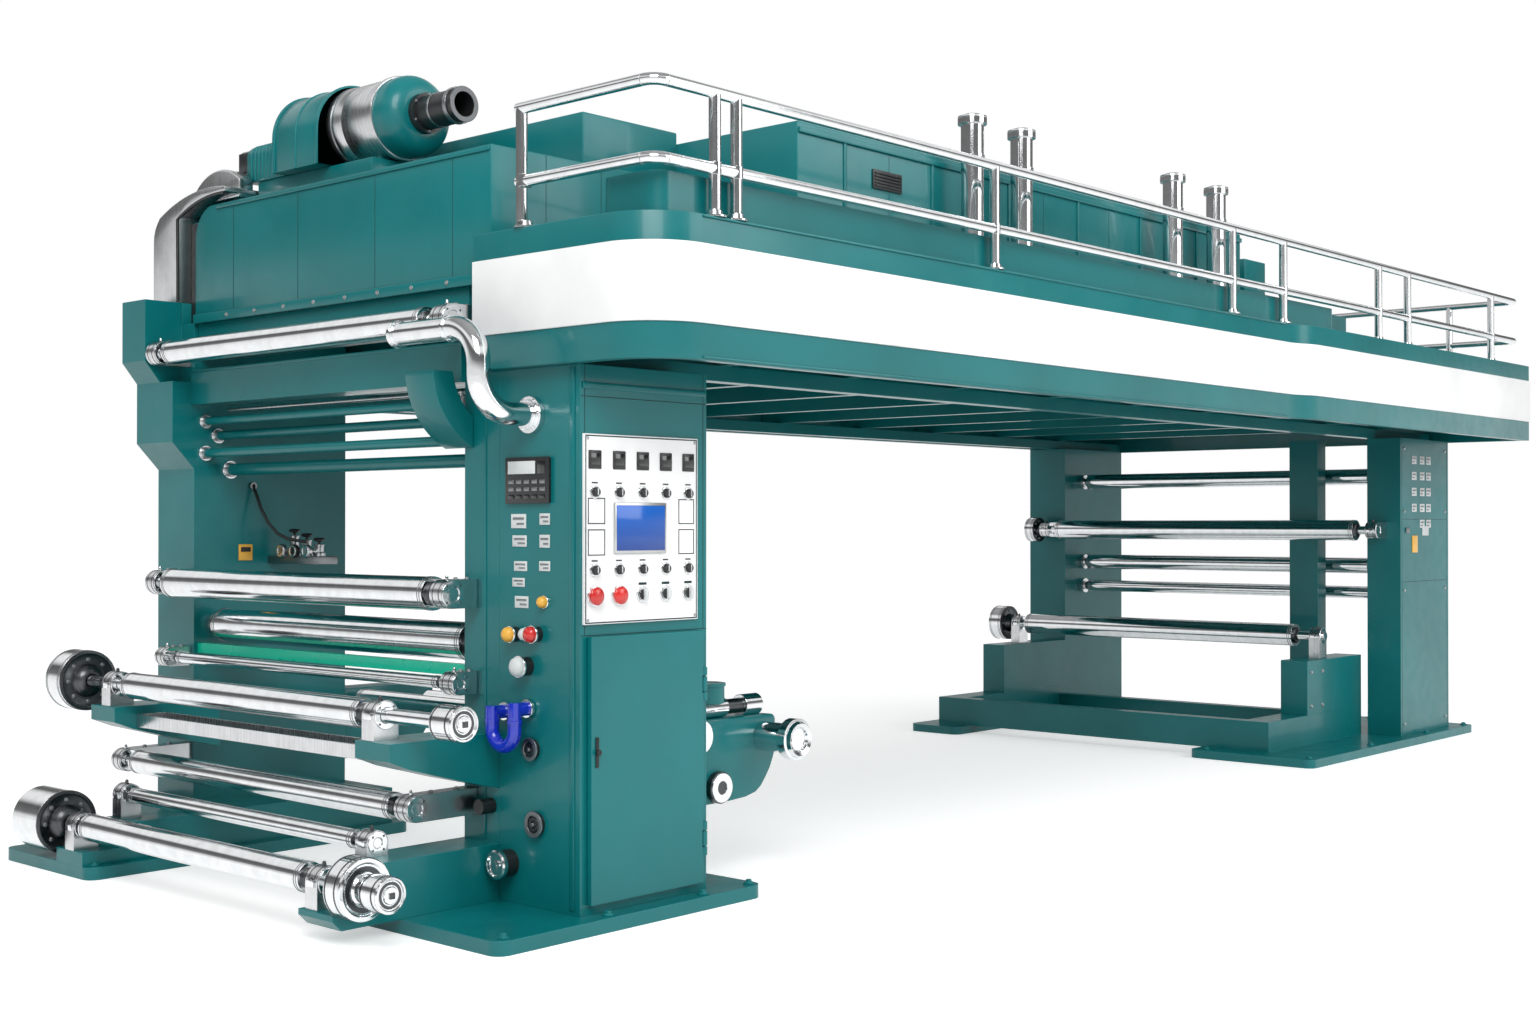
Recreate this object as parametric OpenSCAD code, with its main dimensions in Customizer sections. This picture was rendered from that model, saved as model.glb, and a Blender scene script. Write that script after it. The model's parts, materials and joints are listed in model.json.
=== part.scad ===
// Film printing and coating line: a near printing tower, an overhead drying bridge and a far rewind tower.
// X runs along the line, Y across the web from the operator side to the drive side, Z up from the floor.

/* [Towers] */
// Thickness of the base plates on the floor
base_t = 57; // [30:1:90]
// Height of the tower frames under the bridge
tower_h = 2236; // [2150:1:2400]
// Depth of the operator cabinet across the line
cabinet_d = 489; // [400:1:520]
// Length of the near tower along the line
tower_l = 718; // [650:1:850]
// Thickness of the operator side frame
op_frame_t = 226; // [180:1:260]
// Clear width between the two near side frames
web_w = 2139; // [2000:1:2300]
// Thickness of the drive side frame
drive_frame_t = 344; // [300:1:420]
// Clear length between the near and far towers
span_l = 7322; // [6600:1:8000]
// Length of the far tower along the line
far_l = 910; // [800:1:1000]
// Wall of the hollow operator cabinet
cabinet_wall = 40; // [25:1:60]

/* [Bridge] */
// Height of the fascia that wraps the bridge
fascia_h = 563; // [480:1:640]
// Thickness of the fascia
fascia_t = 60; // [40:1:90]
// Overhang of the bridge past the operator side
walk_w = 475; // [400:1:560]
// Outer radius of the bridge's near corner
fascia_r = 260; // [150:1:320]
// Extra overhang of the far stretch of the fascia
jog_w = 60; // [30:1:90]
// Height of the white band on the fascia
band_h = 309; // [240:1:340]
// Height of the white band above the fascia's lower edge
band_low = 141; // [90:1:160]
// Number of cross ribs under the bridge
rib_count = 9; // [6:1:11]
// Diameter of the rail tubes
rail_d = 48; // [38:1:60]
// Height of the top rail above the deck
rail_h = 489; // [420:1:600]
// Height of the middle rail above the deck
rail_mid_h = 191; // [150:1:240]

/* [Drying roof] */
// Height of the drying tunnel above the deck
tunnel_h = 600; // [500:1:640]
// Diameter of the exhaust stacks
stack_d = 112; // [90:1:140]
// Height of the exhaust stacks above the deck
stack_h = 776; // [700:1:860]
// Height of the curb along the walkway
curb_h = 160; // [120:1:180]

/* [Head] */
// Height of the underside of the printing head housing
head_z = 2609; // [2560:1:2640]
// Height of the top of the printing head housing
head_top = 3183; // [3100:1:3260]
// Radius of the head housing's upper drive corner
head_r = 190; // [120:1:240]
// Diameter of the blower drum
blower_d = 350; // [300:1:380]
// Bore of the blower's outlet pipe
outlet_bore = 110; // [90:1:130]
// Wall of the blower's outlet pipe
outlet_wall = 22; // [15:1:30]

/* [Rollers] */
// Diameter of the journals of the large rollers
journal_d = 60; // [50:1:64]
// Radial clearance of each journal in its bearing
journal_gap = 0.4; // [0.3:0.1:0.8]
// Wall of the bearing housings round the journals
bearing_wall = 30; // [22:1:36]
// Width of the bearing housings along the journal
bearing_w = 80; // [60:1:90]
// Diameter of the upper guide roller
upper_roller_d = 118; // [100:1:130]
// Diameter of the nip roller
nip_roller_d = 141; // [120:1:150]
// Diameter of the printing cylinder
print_roller_d = 165; // [150:1:180]
// Diameter of the thin guide rollers
guide_roller_d = 74; // [66:1:80]
// Diameter of the unwind and lower rollers
web_roller_d = 122; // [100:1:126]
// Diameter of the brake drums on the drive side
drum_d = 290; // [240:1:296]
// Diameter of the hand wheels on the operator side
disc_d = 139; // [120:1:160]

/* [Cabinet] */
// Thickness of the cabinet door
door_t = 24; // [18:1:30]
// Gap round the cabinet door
door_gap = 6; // [5:1:8]
// Diameter of the door's hinge pins
hinge_pin_d = 14; // [10:1:16]
// Width of the white control panel
panel_w = 640; // [560:1:660]
// Height of the white control panel
panel_h = 756; // [700:1:780]
// Height of the control panel's lower edge
panel_z = 1205; // [1190:1:1220]

/* [Hidden] */
$fn = 64;
seat_gap = 0.3;
band_t = 8;

// Planes across the line
y_op = 0;
y_cab = y_op + cabinet_d;
y_in = y_cab + op_frame_t + 2;
y_drive = y_in + web_w;
y_back = y_drive + drive_frame_t;
y_walk = y_op - walk_w;

// Planes along the line
x_front = 0;
x_back = x_front + tower_l;
x_far = x_back + span_l;
x_end = x_far + far_l;
x_bridge = x_front - fascia_t;
x_bridge_end = x_end + 210;
x_plate_end = x_end + 250;

// Heights
z_deck = tower_h + fascia_h;
z_curb = z_deck + curb_h;
z_tunnel = z_deck + tunnel_h;
z_rail = z_deck + rail_h;
z_rail_mid = z_deck + rail_mid_h;

// Roller axes, each as [x, z]
upper_at = [x_front - 150, 2450];
nip_at = [x_front - 150, 1315];
print_at = [x_front + 120, 1100];
doctor_at = [x_front - 110, 945];
unwind_at = [x_front - 480, 845];
tray_at = [x_front - 250, 640];
lower_at = [x_front - 330, 455];
guide_at = [x_front - 520, 345];
rewind_at = [x_front - 740, 225];
far_top_at = [x_far + 260, 1960];
far_main_at = [x_far - 150, 1560];
far_mid_at = [x_far + 260, 1290];
far_low_at = [x_far + 260, 1090];
far_wind_at = [x_far - 560, 800];
rear_at = [x_back + 260, 655];

// Half extents used to set the origin under the middle of the machine
x_min = rewind_at[0] - drum_d / 2;
x_max = x_plate_end;
y_min = y_walk - jog_w - band_t;
y_max = y_back + 20;

teal = "teal";
chrome = "lightgray";

module place() {
    translate([-(x_min + x_max) / 2, -(y_min + y_max) / 2, 0]) children();
}

// A box between two corners
module slab(a, b) {
    translate(a) cube(b - a);
}

// A round bar along Y at a point [x, z] of the side view
module bar_y(at, d, y0, y1) {
    translate([at[0], y1, at[1]]) rotate([90, 0, 0]) cylinder(d = d, h = y1 - y0);
}

module bar_x(y, z, d, x0, x1) {
    translate([x0, y, z]) rotate([0, 90, 0]) cylinder(d = d, h = x1 - x0);
}

// A flat plate with rounded vertical corners
module round_plate(a, b, r) {
    translate([0, 0, a[2]]) linear_extrude(b[2] - a[2]) round_rect([a[0], a[1]], [b[0], b[1]], r);
}

module round_rect(a, b, r) {
    translate([a[0] + r, a[1]]) square([b[0] - a[0] - 2 * r, b[1] - a[1]]);
    translate([a[0], a[1] + r]) square([b[0] - a[0], b[1] - a[1] - 2 * r]);
    for (x = [a[0] + r, b[0] - r], y = [a[1] + r, b[1] - r]) translate([x, y]) circle(r);
}

// A plate standing across the line, drawn in X and Z, between y0 and y1
module side_plate(y0, y1) {
    translate([0, y1, 0]) rotate([90, 0, 0]) linear_extrude(y1 - y0) children();
}

// A roller: its body from y0 to y1 and its journals from j0 to j1
module roller(at, d, y0, y1, j0, j1, jd = journal_d) {
    bar_y(at, jd, j0, j1);
    bar_y(at, d, y0, y1);
}

// A bearing housing that reaches from the journal to a wall at x_wall
module wall_bearing(at, y, x_wall, jd = journal_d) {
    r = jd / 2 + bearing_wall;
    difference() {
        union() {
            bar_y(at, 2 * r, y, y + bearing_w);
            slab([min(at[0], x_wall), y, at[1] - r], [max(at[0], x_wall), y + bearing_w, at[1] + r]);
        }
        bar_y(at, jd + 2 * journal_gap, y - 1, y + bearing_w + 1);
    }
}

// A bearing housing that stands on a seat at z_seat
module pedestal_bearing(at, y, z_seat, jd = journal_d) {
    r = jd / 2 + bearing_wall;
    difference() {
        union() {
            bar_y(at, 2 * r, y, y + bearing_w);
            slab([at[0] - r, y, z_seat], [at[0] + r, y + bearing_w, at[1]]);
        }
        bar_y(at, jd + 2 * journal_gap, y - 1, y + bearing_w + 1);
    }
}

// A round flange bearing that sits on a frame's inner face and holds the end of a journal
module flange_bearing(at, y0, y1, jd = journal_d) {
    difference() {
        bar_y(at, jd + 2 * bearing_wall, y0, y1);
        bar_y(at, jd + 2 * journal_gap, y0 - 1, y1 + 1);
    }
}

// Base and side pieces of the near tower
step_x = x_front - 600;
op_base_top = 290;
seat_z = 120;
base_in_w = 260;

module near_base_plates() {
    color(teal) place() {
        round_plate([x_front - 495, y_op - 100, 0], [x_back + 256, y_in + 60, base_t], 60);
        round_plate([x_front - 800, y_drive - 480, 0], [x_back + 256, y_back, base_t], 60);
    }
}

module operator_side_base() {
    color(teal) place() {
        side_plate(y_cab + 2, y_in) difference() {
            polygon([
                [x_front, base_t], [x_front, op_base_top], [step_x, op_base_top], [step_x, seat_z],
                [rewind_at[0] - 70, seat_z], [rewind_at[0] - 70, base_t + 40], [rewind_at[0] - 30, base_t]
            ]);
        }
    }
}

module drive_side_base() {
    color(teal) place() {
        slab([rewind_at[0] - 60, y_drive - 420, base_t], [x_front, y_drive - 180, seat_z]);
        slab([step_x, y_drive - 420, seat_z], [x_front, y_drive - 180, 230]);
        slab([x_front, y_drive - 420, base_t], [x_back + 180, y_drive, 230]);
        slab([x_front - 130, y_drive - 180, base_t], [x_front, y_back, 230]);
    }
}

module operator_side_frame() {
    color(teal) place() slab([x_front, y_cab + 2, base_t], [x_back, y_in, tower_h]);
}

// Drive side frame with its stepped upper brackets
bracket_low = [2010, 2313];
bracket_high = [2415, 2721];

module drive_side_frame() {
    color(teal) place() {
        side_plate(y_drive, y_back) polygon([
            [x_front, base_t], [x_back + 180, base_t], [x_back + 180, head_z], [x_front, head_z],
            [x_front, bracket_low[1]], [x_front - 120, bracket_low[1]], [x_front - 120, bracket_low[0]],
            [x_front, bracket_low[0] - 130]
        ]);
        side_plate(y_back - 222, y_back) polygon([
            [x_front, bracket_low[1]], [x_front - 120, bracket_low[1]], [x_front - 200, bracket_high[0]],
            [x_front - 200, bracket_high[1]], [x_front, bracket_high[1]]
        ]);
    }
}

// Cabinet, its door and its fittings
door_x = [x_front + 36, x_back - 30];
door_z = [base_t + 40, 1156];
hinge_at = [x_back - 30, y_op - door_t / 2 - 4];

module operator_cabinet() {
    color(teal) place() difference() {
        slab([x_front, y_op, base_t], [x_back, y_cab, tower_h]);
        slab([x_front + cabinet_wall, y_op + cabinet_wall, base_t + cabinet_wall],
             [x_back - cabinet_wall, y_cab - cabinet_wall, 1140]);
        slab([door_x[0] + cabinet_wall, y_op - 1, door_z[0] + cabinet_wall],
             [door_x[1] - cabinet_wall - 20, y_op + cabinet_wall + 1, door_z[1] - cabinet_wall]);
    }
    color("gray") place() for (z = [250, 900]) hinge_knuckle(z);
}

module hinge_knuckle(z) {
    difference() {
        union() {
            translate([hinge_at[0], hinge_at[1], z]) cylinder(d = hinge_pin_d + 14, h = 60);
            slab([hinge_at[0] - 6, hinge_at[1], z], [hinge_at[0] + 14, y_op, z + 60]);
        }
        translate([hinge_at[0], hinge_at[1], z - 1]) cylinder(d = hinge_pin_d + 2 * journal_gap, h = 62);
    }
}

module cabinet_door() {
    color(teal) place() {
        difference() {
            slab([door_x[0], y_op - door_t - 4, door_z[0]], [hinge_at[0] - 16, y_op - 4, door_z[1]]);
            for (z = [250, 900]) slab([hinge_at[0] - 22, y_op - door_t - 5, z - door_gap],
                                      [hinge_at[0], y_op, z + 60 + door_gap]);
        }
        for (z = [250, 900]) {
            translate([hinge_at[0], hinge_at[1], z - 40]) cylinder(d = hinge_pin_d, h = 140);
            for (s = [z - 40, z + 60 + door_gap]) {
                translate([hinge_at[0], hinge_at[1], s]) cylinder(d = hinge_pin_d + 14, h = 34);
                slab([hinge_at[0] - 20, hinge_at[1] - 6, s], [hinge_at[0], hinge_at[1] + 6, s + 34]);
            }
        }
    }
}

module control_panel() {
    color("white") place()
        slab([x_front + 10, y_op - 14, panel_z], [x_front + 10 + panel_w, y_op, panel_z + panel_h]);
    color("black") place() {
        slab([x_front + 171, y_op - 20, 1491], [x_front + 453, y_op - 14, 1683]);
    }
}

module side_instruments() {
    color("dimgray") place() {
        slab([x_front - 14, 173, 1691], [x_front, 432, 1869]);
        bar_x(387, 1154, 62, x_front - 30, x_front);
        bar_x(251, 1159, 62, x_front - 30, x_front);
        bar_x(313, 1027, 76, x_front - 45, x_front);
        bar_x(281, 694, 84, x_front - 16, x_front);
        bar_x(256, 394, 96, x_front - 16, x_front);
        bar_x(420, 220, 110, x_front - 60, x_front);
        bar_x(540, 440, 64, x_front - 70, x_front);
    }
}

// Crossbeam, arms, bearings and the coating group of the near tower
module front_crossbeam() {
    color(teal) place() {
        slab([x_front - 20, y_in + 0, 2200], [x_front + 140, y_drive, 2356]);
        bar_y([x_front + 60, 2120], 40, y_in, y_drive);
        bar_y([x_front + 130, 2050], 46, y_in, y_drive);
        bar_y([x_front + 60, 1960], 46, y_in, y_drive);
        bar_y([x_front + 200, 1880], 60, y_in, y_drive);
    }
}

arm_top = unwind_at[1] - 100;

module unwind_arms() {
    color(teal) place() difference() {
        union() {
            side_plate(y_cab + 2, y_in) arm_outline(x_front);
            side_plate(y_drive - 240, y_drive - 20) arm_outline(x_front);
            slab([x_front - 100, y_drive - 20, arm_top - 150], [x_front, y_drive + 120, arm_top]);
        }
        bar_y(tray_at, 36 + 2 * journal_gap, y_in - 60, y_drive - 180);
    }
}

module arm_outline(x_wall) {
    polygon([
        [x_wall, arm_top], [unwind_at[0] - 70, arm_top], [unwind_at[0] - 70, arm_top - 70],
        [unwind_at[0] + 30, arm_top - 110], [x_wall - 200, arm_top - 180], [x_wall, arm_top - 230]
    ]);
}

bear_op = y_in - 110;
bear_drive = y_drive + 20;

module near_bearings() {
    color(chrome) place() {
        for (y = [bear_op, bear_drive]) {
            wall_bearing(upper_at, y, x_front);
            wall_bearing(nip_at, y, x_front);
            wall_bearing(doctor_at, y, x_front, 36);
            wall_bearing(lower_at, y, x_front, 50);
        }
        for (y = [[y_in, y_in + 40], [y_drive - 40, y_drive]]) flange_bearing(print_at, y[0], y[1]);
        for (y = [bear_op, y_drive - 180]) pedestal_bearing(unwind_at, y, arm_top);
        pedestal_bearing(guide_at, bear_op, op_base_top, 40);
        pedestal_bearing(guide_at, y_drive - 340, 230, 40);
        for (y = [bear_op, y_drive - 340]) pedestal_bearing(rewind_at, y, seat_z);
    }
}

module coating_tray() {
    color("silver") place() difference() {
        slab([x_front - 440, y_in, 645], [x_front - 290, y_drive - 240, 705]);
        slab([x_front - 430, y_in + 10, 655], [x_front - 300, y_drive - 250, 706]);
    }
}

module doctor_blade() {
    color("turquoise") place() slab([x_front + 20, y_in, 960], [x_front + 60, y_drive, 1010]);
}

module valve_cluster() {
    color("dimgray") place() {
        slab([x_front + 420, y_drive - 420, 1400], [x_front + 560, y_drive, 1440]);
        for (i = [0:2]) translate([x_front + 490, y_drive - 360 + i * 110, 1440]) cylinder(d = 60, h = 90 + 20 * i);
    }
}

// Rollers of the near tower
module upper_roller() {
    color(chrome) place() roller(upper_at, upper_roller_d, y_in + 60, y_drive - 40, bear_op, y_drive + 100);
}

module nip_roller() {
    color(chrome) place() roller(nip_at, nip_roller_d, y_in + 10, y_drive - 60, bear_op, y_drive + 100);
}

module print_cylinder() {
    color(chrome) place()
        roller(print_at, print_roller_d, y_in + 90, y_drive - 90, y_in + seat_gap, y_drive - seat_gap);
}

module doctor_roller() {
    color(chrome) place()
        roller(doctor_at, 52, y_in + 20, y_drive - 60, bear_op, y_drive + 100, 36);
}

module unwind_roller() {
    color(chrome) place() {
        roller(unwind_at, web_roller_d, y_in + 20, y_drive - 270, y_in - 490, y_drive + 290);
        bar_y(unwind_at, drum_d, y_drive + 150, y_drive + 290);
        bar_y(unwind_at, disc_d, y_in - 590, y_in - 470);
    }
}

module tray_roller() {
    color(chrome) place() roller(tray_at, 46, y_in + 20, y_drive - 260, y_in - 55, y_drive - 185, 36);
}

module lower_roller() {
    color(chrome) place() roller(lower_at, 110, y_in + 20, y_drive - 60, bear_op, y_drive + 100, 50);
}

module guide_roller() {
    color(chrome) place()
        roller(guide_at, guide_roller_d, y_in + 20, y_drive - 380, bear_op, y_drive - 260, 40);
}

module rewind_roller() {
    color(chrome) place() {
        roller(rewind_at, web_roller_d, y_in + 20, y_drive - 380, y_cab - 160, y_drive + 80);
        bar_y(rewind_at, drum_d, y_drive - 150, y_drive + 80);
        bar_y(rewind_at, 240, y_cab - 100, y_cab - 8);
        bar_y(rewind_at, disc_d, y_cab - 260, y_cab - 160);
    }
}

// Guard, pipe and hose at the operator side of the near tower
module dancer_guard() {
    color(teal) place() side_plate(y_in - 60, y_in + 200) intersection() {
        difference() {
            translate([x_front, 2180]) circle(300);
            translate([x_front + 60, 2240]) circle(170);
        }
        translate([x_front - 400, 1700]) square([400, 500]);
    }
}

module bent_pipe() {
    color(chrome) place() {
        bar_x(283, 2044, 150, x_front - 30, x_front);
        bar_x(283, 2044, 70, x_front - 180, x_front - 20);
        translate([x_front - 180, 283, 2144]) rotate([90, 180, 0])
            rotate_extrude(angle = 90) translate([100, 0]) circle(d = 70);
        translate([x_front - 280, 283, 2144]) cylinder(d = 70, h = 160);
        translate([x_front - 280, 363, 2304]) rotate([90, 0, -90])
            rotate_extrude(angle = 90) translate([80, 0]) circle(d = 70);
        bar_y([x_front - 280, 2384], 70, 363, 640);
    }
}

module ink_hose() {
    color("blue") place() {
        translate([x_front - 80, 370, 775]) rotate([0, 180, 90]) rotate([90, 0, 0])
            rotate_extrude(angle = 180) translate([70, 0]) circle(d = 56);
        translate([x_front - 80, 300, 775]) cylinder(d = 56, h = 110);
        translate([x_front - 80, 440, 775]) cylinder(d = 56, h = 90);
        bar_x(300, 857, 56, x_front - 80, x_front);
        bar_x(440, 837, 56, x_front - 80, x_front);
    }
}

// Rear arm with its roller end
module rear_arm() {
    color(teal) place() difference() {
        side_plate(y_in - 100, y_in) union() {
            polygon([
                [x_back, 860], [x_back + 180, 860], [x_back + 200, 720], [x_back + 330, 720],
                [x_back + 330, 560], [x_back + 200, 420], [x_back, 380]
            ]);
        }
        bar_y(rear_at, journal_d + 2 * journal_gap, y_in - 101, y_in + 1);
    }
}

module rear_roller() {
    color(chrome) place() {
        bar_y(rear_at, journal_d, y_in - 400, y_in + 10);
        bar_y(rear_at, 120, y_in - 400, y_in - 110);
        bar_y(rear_at, 150, y_in - 440, y_in - 380);
        bar_y(rear_at, web_roller_d, y_in + 8, y_drive - 60);
    }
}

// Head housing over the near tower
module head_housing() {
    color(teal) place() difference() {
        slab([x_front, y_cab + 60, head_z], [x_back + 180, y_back - 250, head_top]);
        slab([x_front - 1, y_back - 250 - head_r, head_top - head_r],
             [x_back + 181, y_back - 249, head_top + 1]);
    }
    color(teal) place() difference() {
        translate([x_front, y_back - 250 - head_r, head_top - head_r]) rotate([0, 90, 0])
            cylinder(r = head_r, h = tower_l + 180);
        slab([x_front - 1, y_back - 252 - 2 * head_r, head_z], [x_back + 181, y_back - 250 - head_r, head_top]);
        slab([x_front - 1, y_back - 252 - 2 * head_r, head_z], [x_back + 181, y_back - 249, head_top - head_r]);
    }
}

edge_in_y = y_back - 215;
edge_out_y = y_back + 20;
edge_top = head_top + 106;
edge_y0 = y_back - 750;

module arch(y1, z1, r) {
    translate([edge_y0, bracket_high[1]]) square([y1 - r - edge_y0, z1 - bracket_high[1]]);
    translate([edge_y0, bracket_high[1]]) square([y1 - edge_y0, z1 - r - bracket_high[1]]);
    intersection() {
        translate([y1 - r, z1 - r]) circle(r);
        translate([y1 - r, z1 - r]) square(r);
    }
}

module head_edge_band() {
    color("silver") place() translate([x_front - 200, 0, 0]) rotate([90, 0, 90]) linear_extrude(320)
    difference() {
        arch(edge_out_y, edge_top, 300);
        translate([-1, -1]) arch(edge_in_y, head_top + 22 + 1, 215);
    }
}

// Blower on the head housing, its shaft along Y
blower_at = [x_front + 320, head_top + 310];

module blower_base() {
    color(teal) place() {
        slab([blower_at[0] - 160, 1500, head_top], [blower_at[0] + 200, 2560, head_top + 110]);
        slab([blower_at[0] - 100, 2440, head_top + 110], [blower_at[0] + 160, 2780, head_top + 380]);
        slab([blower_at[0] - 60, 2780, head_top + 140], [blower_at[0] + 120, 2900, head_top + 320]);
    }
}

module blower_scroll() {
    color(teal) place() difference() {
        union() {
            bar_y(blower_at, 420, 2130, 2440);
            slab([blower_at[0] - 210, 2130, head_top + 110], [blower_at[0] + 210, 2440, blower_at[1]]);
        }
        slab([blower_at[0] - 211, 2129, head_top], [blower_at[0] + 211, 2441, head_top + 110 + seat_gap]);
    }
}

module blower_drum() {
    color("gray") place() {
        bar_y(blower_at, blower_d, 1700, 2130);
        bar_y(blower_at, blower_d + 16, 1690, 1716);
        bar_y(blower_at, blower_d - 20, 1480, 1690);
        slab([blower_at[0] - 80, 1500, head_top + 110], [blower_at[0] + 80, 2100, blower_at[1] - 140]);
    }
}

module outlet_pipe() {
    color("dimgray") place() difference() {
        union() {
            bar_y(blower_at, outlet_bore + 2 * outlet_wall, 1130, 1480);
            bar_y(blower_at, outlet_bore + 2 * outlet_wall + 30, 1380, 1420);
        }
        bar_y(blower_at, outlet_bore, 1129, 1400);
    }
}

// Bridge between the towers
fascia_y1 = y_cab + 100;

module fascia_outline(grow) {
    x0 = x_bridge - grow;
    y0 = y_walk - grow;
    r = fascia_r + grow;
    difference() {
        union() {
            translate([x0 + r, y0]) square([x_far - 1200 - x0 - r, y_back + grow - y0]);
            translate([x0, y0 + r]) square([r + 1, fascia_y1 - y0 - r]);
            translate([x0 + r, y0 + r]) circle(r);
            translate([x_far - 1300, y0 - jog_w]) square([x_bridge_end + grow - x_far + 1300, y_back + grow - y0 + jog_w]);
        }
    }
}

module fascia_shell(z0, z1, outer, inner) {
    translate([0, 0, z0]) linear_extrude(z1 - z0) difference() {
        fascia_outline(outer);
        fascia_outline(inner);
        translate([x_bridge - 200, fascia_y1 + inner]) square([x_back + 400 - x_bridge, 6000]);
    }
}

module bridge_fascia() {
    color(teal) place() fascia_shell(tower_h, z_deck, 0, -fascia_t);
}

module fascia_band() {
    color("white") place() intersection() {
        fascia_shell(tower_h + band_low, tower_h + band_low + band_h, band_t, 0);
        slab([x_bridge - 100, y_walk - 200, tower_h], [x_bridge_end + 100, y_in, z_deck]);
    }
}

chord_h = 70;

module bridge_ribs() {
    color(teal) place() for (i = [0:rib_count - 1])
        let (x = x_back + 300 + i * (x_far - x_back - 240) / (rib_count - 1))
            slab([x, y_walk + fascia_t, tower_h + chord_h], [x + 60, y_back - fascia_t, z_deck - 60]);
}

module bridge_chords() {
    color(teal) place() {
        slab([x_front + 60, y_op + 200, tower_h], [x_bridge_end - fascia_t, y_op + 280, tower_h + chord_h]);
        slab([x_back + 200, y_drive + 100, tower_h],
             [x_bridge_end - fascia_t, y_drive + 180, tower_h + chord_h]);
    }
}

module bridge_deck() {
    color(teal) place() difference() {
        translate([0, 0, z_deck - 60]) linear_extrude(60) fascia_outline(-fascia_t);
        slab([x_bridge - 200, y_cab + 50, z_deck - 100], [x_back + 200, y_back + 100, z_deck + 100]);
    }
}

module walkway_curb() {
    color(teal) place() round_plate([x_bridge + 90, y_walk + 70, z_deck], [x_far - 2000, y_op - 70, z_curb], 70);
}

module drying_tunnel() {
    color(teal) place() {
        slab([x_back + 190, y_cab + 200, z_deck], [x_back + 520, y_back - 200, z_tunnel]);
        slab([x_back + 520, y_op - 60, z_deck], [x_far - 2600, y_back - 200, z_tunnel]);
        slab([x_far - 2590, y_op + 60, z_deck], [x_far - 2000, y_back - 300, z_deck + 400]);
    }
}

module exhaust_stacks() {
    color(chrome) place() for (x = [2380, 2807, 4343, 4855]) {
        translate([x, y_op - 200, z_curb]) cylinder(d = stack_d, h = stack_h - curb_h);
        translate([x, y_op - 200, z_deck + stack_h - 30]) cylinder(d = stack_d + 30, h = 30);
    }
}

module roof_valves() {
    color(teal) place() {
        slab([x_far - 1900, y_op + 100, z_deck], [x_far - 1500, y_op + 500, z_deck + 220]);
        slab([x_far - 1100, y_op + 100, z_deck], [x_far - 700, y_op + 600, z_deck + 260]);
        slab([x_far - 300, y_op + 100, z_deck], [x_far + 500, y_op + 900, z_deck + 120]);
    }
}

// Rails round the walkway
rail_y = y_walk + 30;
rail_x = x_bridge + 30;
rail_xe = x_bridge_end - 30;

module rail_post(x, y) {
    translate([x, y, z_deck]) cylinder(d = rail_d, h = rail_h);
}

module rail_front() {
    color(chrome) place() {
        for (z = [z_rail, z_rail_mid]) bar_x(rail_y, z, rail_d, rail_x + 60, rail_xe - 60);
        for (x = [300, 424, 2213, 4578, 5223, 6603, 7079, 8619]) rail_post(x, rail_y);
    }
}

module rail_near_end() {
    color(chrome) place() {
        for (z = [z_rail, z_rail_mid]) bar_y([rail_x, z], rail_d, rail_y + 60, y_cab - 150);
        rail_post(rail_x, y_cab - 170);
    }
}

module rail_far_end() {
    color(chrome) place() {
        for (z = [z_rail, z_rail_mid]) bar_y([rail_xe, z], rail_d, rail_y + 60, y_back - 60);
        for (y = [rail_y + 500, y_in + 800, y_back - 80]) rail_post(rail_xe, y);
    }
}

// Far tower
far_col_d = 250;

module far_base() {
    color(teal) place() {
        round_plate([x_far - 1687, y_op - 100, 0], [x_plate_end, y_op + 800, base_t], 60);
        round_plate([x_far - 1687, y_drive - 100, 0], [x_plate_end, y_back, base_t], 60);
        slab([x_far - 1400, y_op + 300, base_t], [x_far, y_op + 500, 260]);
        slab([x_far - 1400, y_drive, base_t], [x_far, y_drive + 200, 260]);
        slab([x_far - 1500, y_op + 300, base_t], [x_far - 1400, y_drive + 200, 260]);
        slab([x_far - 100, y_op + 500, base_t], [x_far, y_drive, 200]);
    }
}

module far_operator_column() {
    color(teal) place() slab([x_far, y_op, base_t], [x_end, y_op + far_col_d, tower_h]);
}

module far_drive_frame() {
    color(teal) place() slab([x_far, y_drive, base_t], [x_end, y_back, tower_h]);
}

module far_post() {
    color(teal) place() slab([x_far, y_op + 636, base_t], [x_far + 140, y_op + 860, tower_h]);
}

module far_cradle() {
    color(teal) place() {
        slab([x_far - 900, y_op + 300, 260], [x_far, y_op + 500, 640]);
        slab([x_far - 900, y_drive, 260], [x_far, y_drive + 200, 640]);
    }
}

far_op = y_op + 340;
far_in = y_op + far_col_d;

module far_bearings() {
    color(chrome) place() {
        wall_bearing(far_main_at, y_op + 100, x_far);
        wall_bearing(far_main_at, y_drive + 40, x_far);
        for (y = [far_op, y_drive + 40]) pedestal_bearing(far_wind_at, y, 640);
        for (at = [far_top_at, far_mid_at, far_low_at]) {
            flange_bearing(at, far_in, far_in + 40);
            flange_bearing(at, y_drive - 40, y_drive);
        }
    }
}

module far_top_roller() {
    color(chrome) place()
        roller(far_top_at, web_roller_d, far_in + 60, y_drive - 80, far_in + seat_gap, y_drive - seat_gap);
}

module far_main_roller() {
    color(chrome) place() {
        roller(far_main_at, 150, far_in + 20, y_drive - 40, y_op + 100, y_drive + 160);
        bar_y(far_main_at, 200, y_drive + 160, y_drive + 240);
    }
}

module far_mid_roller() {
    color(chrome) place()
        roller(far_mid_at, web_roller_d, far_in + 60, y_drive - 80, far_in + seat_gap, y_drive - seat_gap);
}

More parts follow.
